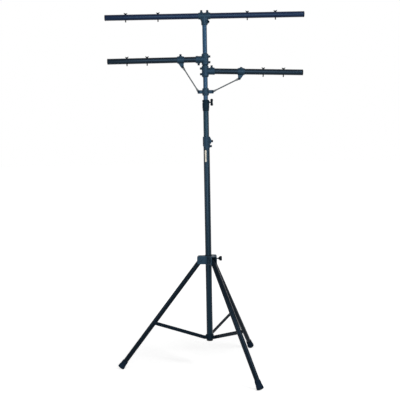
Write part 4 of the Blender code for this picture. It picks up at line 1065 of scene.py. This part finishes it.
def buildStrut(side, sign, armMatrix, clampBody):
    # The clamp sits on the arm where the strut reaches it from the ring
    outward, up = armMatrix.col[0].xyz, armMatrix.col[2].xyz
    ringPin = Vector((strutRing["pinRadius"] * sign, 0, ringHeight()))
    start = armMatrix.translation - up * strutClamp["drop"] - ringPin
    back = start.dot(outward)
    along = -back + sqrt(back ** 2 - start.length_squared + strut["length"] ** 2)
    buildClamp(side, armMatrix @ at(x=along + strutClamp["inset"]), clampBody)
    pin = ringPin + start + outward * along
    matrix = axesMatrix(ringPin, pin - ringPin, Vector((0, sign, 0))) @ toMinusX
    place("strutRod_" + side, strutMesh(), rodSteel, "side_arms", "strut_" + side, matrix)
    for name, point in (("clamp", pin), ("ring", ringPin)):
        place(f"strutPin_{side}_{name}", pinMesh(), blackSteel, "side_arms",
              matrix=Matrix.Translation(point) @ toY)


def buildStrutRing():
    r = strutRing
    outer = topBore + r["wall"]
    half, ear, fork = r["height"] / 2, r["earHeight"] / 2, strutClamp["fork"] / 2
    reach = r["pinRadius"] + r["earMargin"]
    body = sleeveMesh(outer, half, r["chamfer"] / 2, r["chamfer"], 0.0008)
    outline = softCorners([(0, -ear), (reach, -ear), (reach, ear), (0, ear)], r["corner"], True, 5)
    slot = slotMesh(r["pinRadius"] - strut["width"] / 2 - 2 * seatGap, strut["thickness"] / 2 + seatGap,
                    -0.03, 0.03)
    seat = outer + r["rise"]
    angles = (0, pi)
    body = castMesh([body, moved(bossMesh(seat, outer, 0.004), toY)]
                    + allRound(plateMesh(outline, -fork, fork, 0.001), angles),
                    [rodMesh(topBore, -2 * half, 2 * half, 96), drillMesh(boltSize["radius"], 0, 0.06, toY)]
                    + allRound(slot, angles))
    middle = at(z=ringHeight())
    placeCast("strutRing", body, "side_arms", "strut_ring", middle)
    boltPiece("strutRingBolt", "side_arms", middle @ toY, seat, topBore, "strut_ring_bolt")


# Blank sticker on the base tube, under the collar's point
label = {"low": 1.275, "high": 1.346, "startDeg": -35, "endDeg": -4, "thickness": 0.00018,
         "corner": 0.0015, "cuts": 18, "lift": 0.00005}


def buildLabel():
    radius = baseRadius + label["lift"]
    width = radians(label["endDeg"] - label["startDeg"]) * radius
    height = label["high"] - label["low"]
    flat = softCorners([(0, 0), (width, 0), (width, height), (0, height)], label["corner"], True, 5)
    bm = bmesh.new()
    bm.faces.new([bm.verts.new((x, 0, z)) for x, z in flat])
    for k in range(1, label["cuts"]):
        bmesh.ops.bisect_plane(bm, geom=bm.verts[:] + bm.edges[:] + bm.faces[:],
                               plane_co=(width * k / label["cuts"], 0, 0), plane_no=(1, 0, 0))
    for vert in bm.verts:
        # Wrap the flat sticker round the tube, from its left edge
        angle = radians(-90 + label["startDeg"]) + vert.co.x / radius
        vert.co = (radius * cos(angle), radius * sin(angle), vert.co.z + label["low"])
    bmesh.ops.recalc_face_normals(bm, faces=bm.faces)
    for face in bm.faces:
        middle = face.calc_center_median()
        if face.normal.dot(Vector((middle.x, middle.y, 0))) < 0:
            face.normal_flip()
    bmesh.ops.solidify(bm, geom=bm.faces[:], thickness=-label["thickness"])
    place("blankLabel", finishMesh(bm), vinyl, "mast_base")


buildMast()
buildLowerCollar()
buildUpperCollar()
print("mast and collars made")
buildLegHub()
buildLegs()
buildBottomHub()
buildBottomCap()
print("tripod made")
buildTBar()
print("T-bar made")
adapterBody, clampBody = adapterMesh(), clampMesh()
for side, sign in (("left", -1), ("right", 1)):
    buildAdapter(side, adapterBody.copy())
    buildStrut(side, sign, buildSideArm(side, sign), clampBody.copy())
buildStrutRing()
buildLabel()
print("side arms, struts and label made")


# Studio: white floor and surround, a large softbox behind the camera, one above it, one on each side
studio = {"floorSize": 60, "ambient": 0.06, "floorNear": 0.63, "floorFar": 0.96, "nearReach": 0.5,
          "farReach": 2.2, "floorWhite": 0.9, "floorBounce": 0.25}
lamps = {
    "frontSoftbox": {"at": (0.2, -5.8, 1.8), "aim": (0.2, 0, 1.8), "size": (4.0, 2.8), "watts": 190},
    "topSoftbox": {"at": (0, -3.1, 3.7), "aim": (0, 0, 2.1), "size": (2.2, 0.8), "watts": 25},
    "rightSoftbox": {"at": (1.7, -1.7, 2.5), "aim": (0, 0, 2.0), "size": (0.9, 2.0), "watts": 38},
    "leftSoftbox": {"at": (-2.1, -1.5, 1.3), "aim": (0, 0, 1.0), "size": (0.9, 1.2), "watts": 14},
}
camera = {"distance": 4.8, "height": 1.3642, "pitch": 0.0668, "yaw": -0.0095, "roll": -0.0179,
          "focalPixels": 787.76, "imagePixels": 400, "sensorMm": 36}


def seenDirectly(tree):
    # 1 where the camera, a mirror or glass looks at a surface, and 0 where it only lights
    rays = addNode(tree, "ShaderNodeLightPath").outputs
    either = addNode(tree, "ShaderNodeMath", {"operation": "MAXIMUM"},
                     {0: rays["Is Camera Ray"], 1: rays["Is Glossy Ray"]}).outputs["Value"]
    return addNode(tree, "ShaderNodeMath", {"operation": "MAXIMUM"},
                   {0: either, 1: rays["Is Transmission Ray"]}).outputs["Value"]


def buildFloor():
    s = studio
    size = s["floorSize"]
    mesh = bpy.data.meshes.new("floor")
    mesh.from_pydata([(-size, -size, 0), (size, -size, 0), (size, size, 0), (-size, size, 0)], [],
                     [(0, 1, 2, 3)])
    floor = addObject("floor", mesh)
    material = bpy.data.materials.new("white studio floor")
    material.use_nodes = True
    tree = material.node_tree
    tree.nodes.clear()
    # Brighter far from the stand, where no lamp reaches, so that floor and surround meet unseen
    middle = addNode(tree, "ShaderNodeTexCoord").outputs["Object"]
    reach = addNode(tree, "ShaderNodeVectorMath", {"operation": "LENGTH"}, {0: middle}).outputs["Value"]
    level = remap(tree, reach, s["floorNear"], s["floorFar"], s["nearReach"], s["farReach"])
    glow = addNode(tree, "ShaderNodeEmission", {"Color": (1, 1, 1, 1)}, {"Strength": level})
    white, bounce = [addNode(tree, "ShaderNodeBsdfDiffuse", {"Color": [s[tone]] * 3 + [1]})
                     for tone in ("floorWhite", "floorBounce")]
    seen = addNode(tree, "ShaderNodeAddShader", links={0: glow.outputs[0], 1: white.outputs[0]})
    mix = addNode(tree, "ShaderNodeMixShader",
                  links={0: seenDirectly(tree), 1: bounce.outputs[0], 2: seen.outputs[0]})
    addNode(tree, "ShaderNodeOutputMaterial", links={"Surface": mix.outputs[0]})
    mesh.materials.append(material)


def buildWorld():
    world = bpy.data.worlds.new("white surround")
    world.use_nodes = True
    tree = world.node_tree
    background = tree.nodes["Background"]
    background.inputs["Color"].default_value = (1, 1, 1, 1)
    tree.links.new(remap(tree, seenDirectly(tree), studio["ambient"], 1.0), background.inputs["Strength"])
    bpy.context.scene.world = world


def buildLamps():
    for name, spec in lamps.items():
        data = bpy.data.lights.new(name, "AREA")
        data.shape = "RECTANGLE"
        data.size, data.size_y = spec["size"]
        data.energy = spec["watts"]
        lamp = addObject(name, data)
        lamp.location = spec["at"]
        aim = Vector(spec["aim"]) - Vector(spec["at"])
        lamp.rotation_euler = aim.to_track_quat("-Z", "Y").to_euler()


def buildCamera():
    c = camera
    pitch, yaw, roll = c["pitch"], c["yaw"], c["roll"]
    forward = Vector((sin(yaw) * cos(pitch), cos(yaw) * cos(pitch), -sin(pitch)))
    level = Vector((cos(yaw), -sin(yaw), 0))
    upright = level.cross(forward)
    right = level * cos(roll) + upright * sin(roll)
    up = upright * cos(roll) - level * sin(roll)
    data = bpy.data.cameras.new("camera")
    data.sensor_width = c["sensorMm"]
    data.lens = c["focalPixels"] / c["imagePixels"] * c["sensorMm"]
    item = addObject("camera", data)
    item.matrix_world = frameMatrix((0, -c["distance"], c["height"]), right, up, -forward)
    bpy.context.scene.camera = item


buildFloor()
buildWorld()
buildLamps()
buildCamera()
bpy.context.scene.view_settings.view_transform = "Standard"
print("studio made")
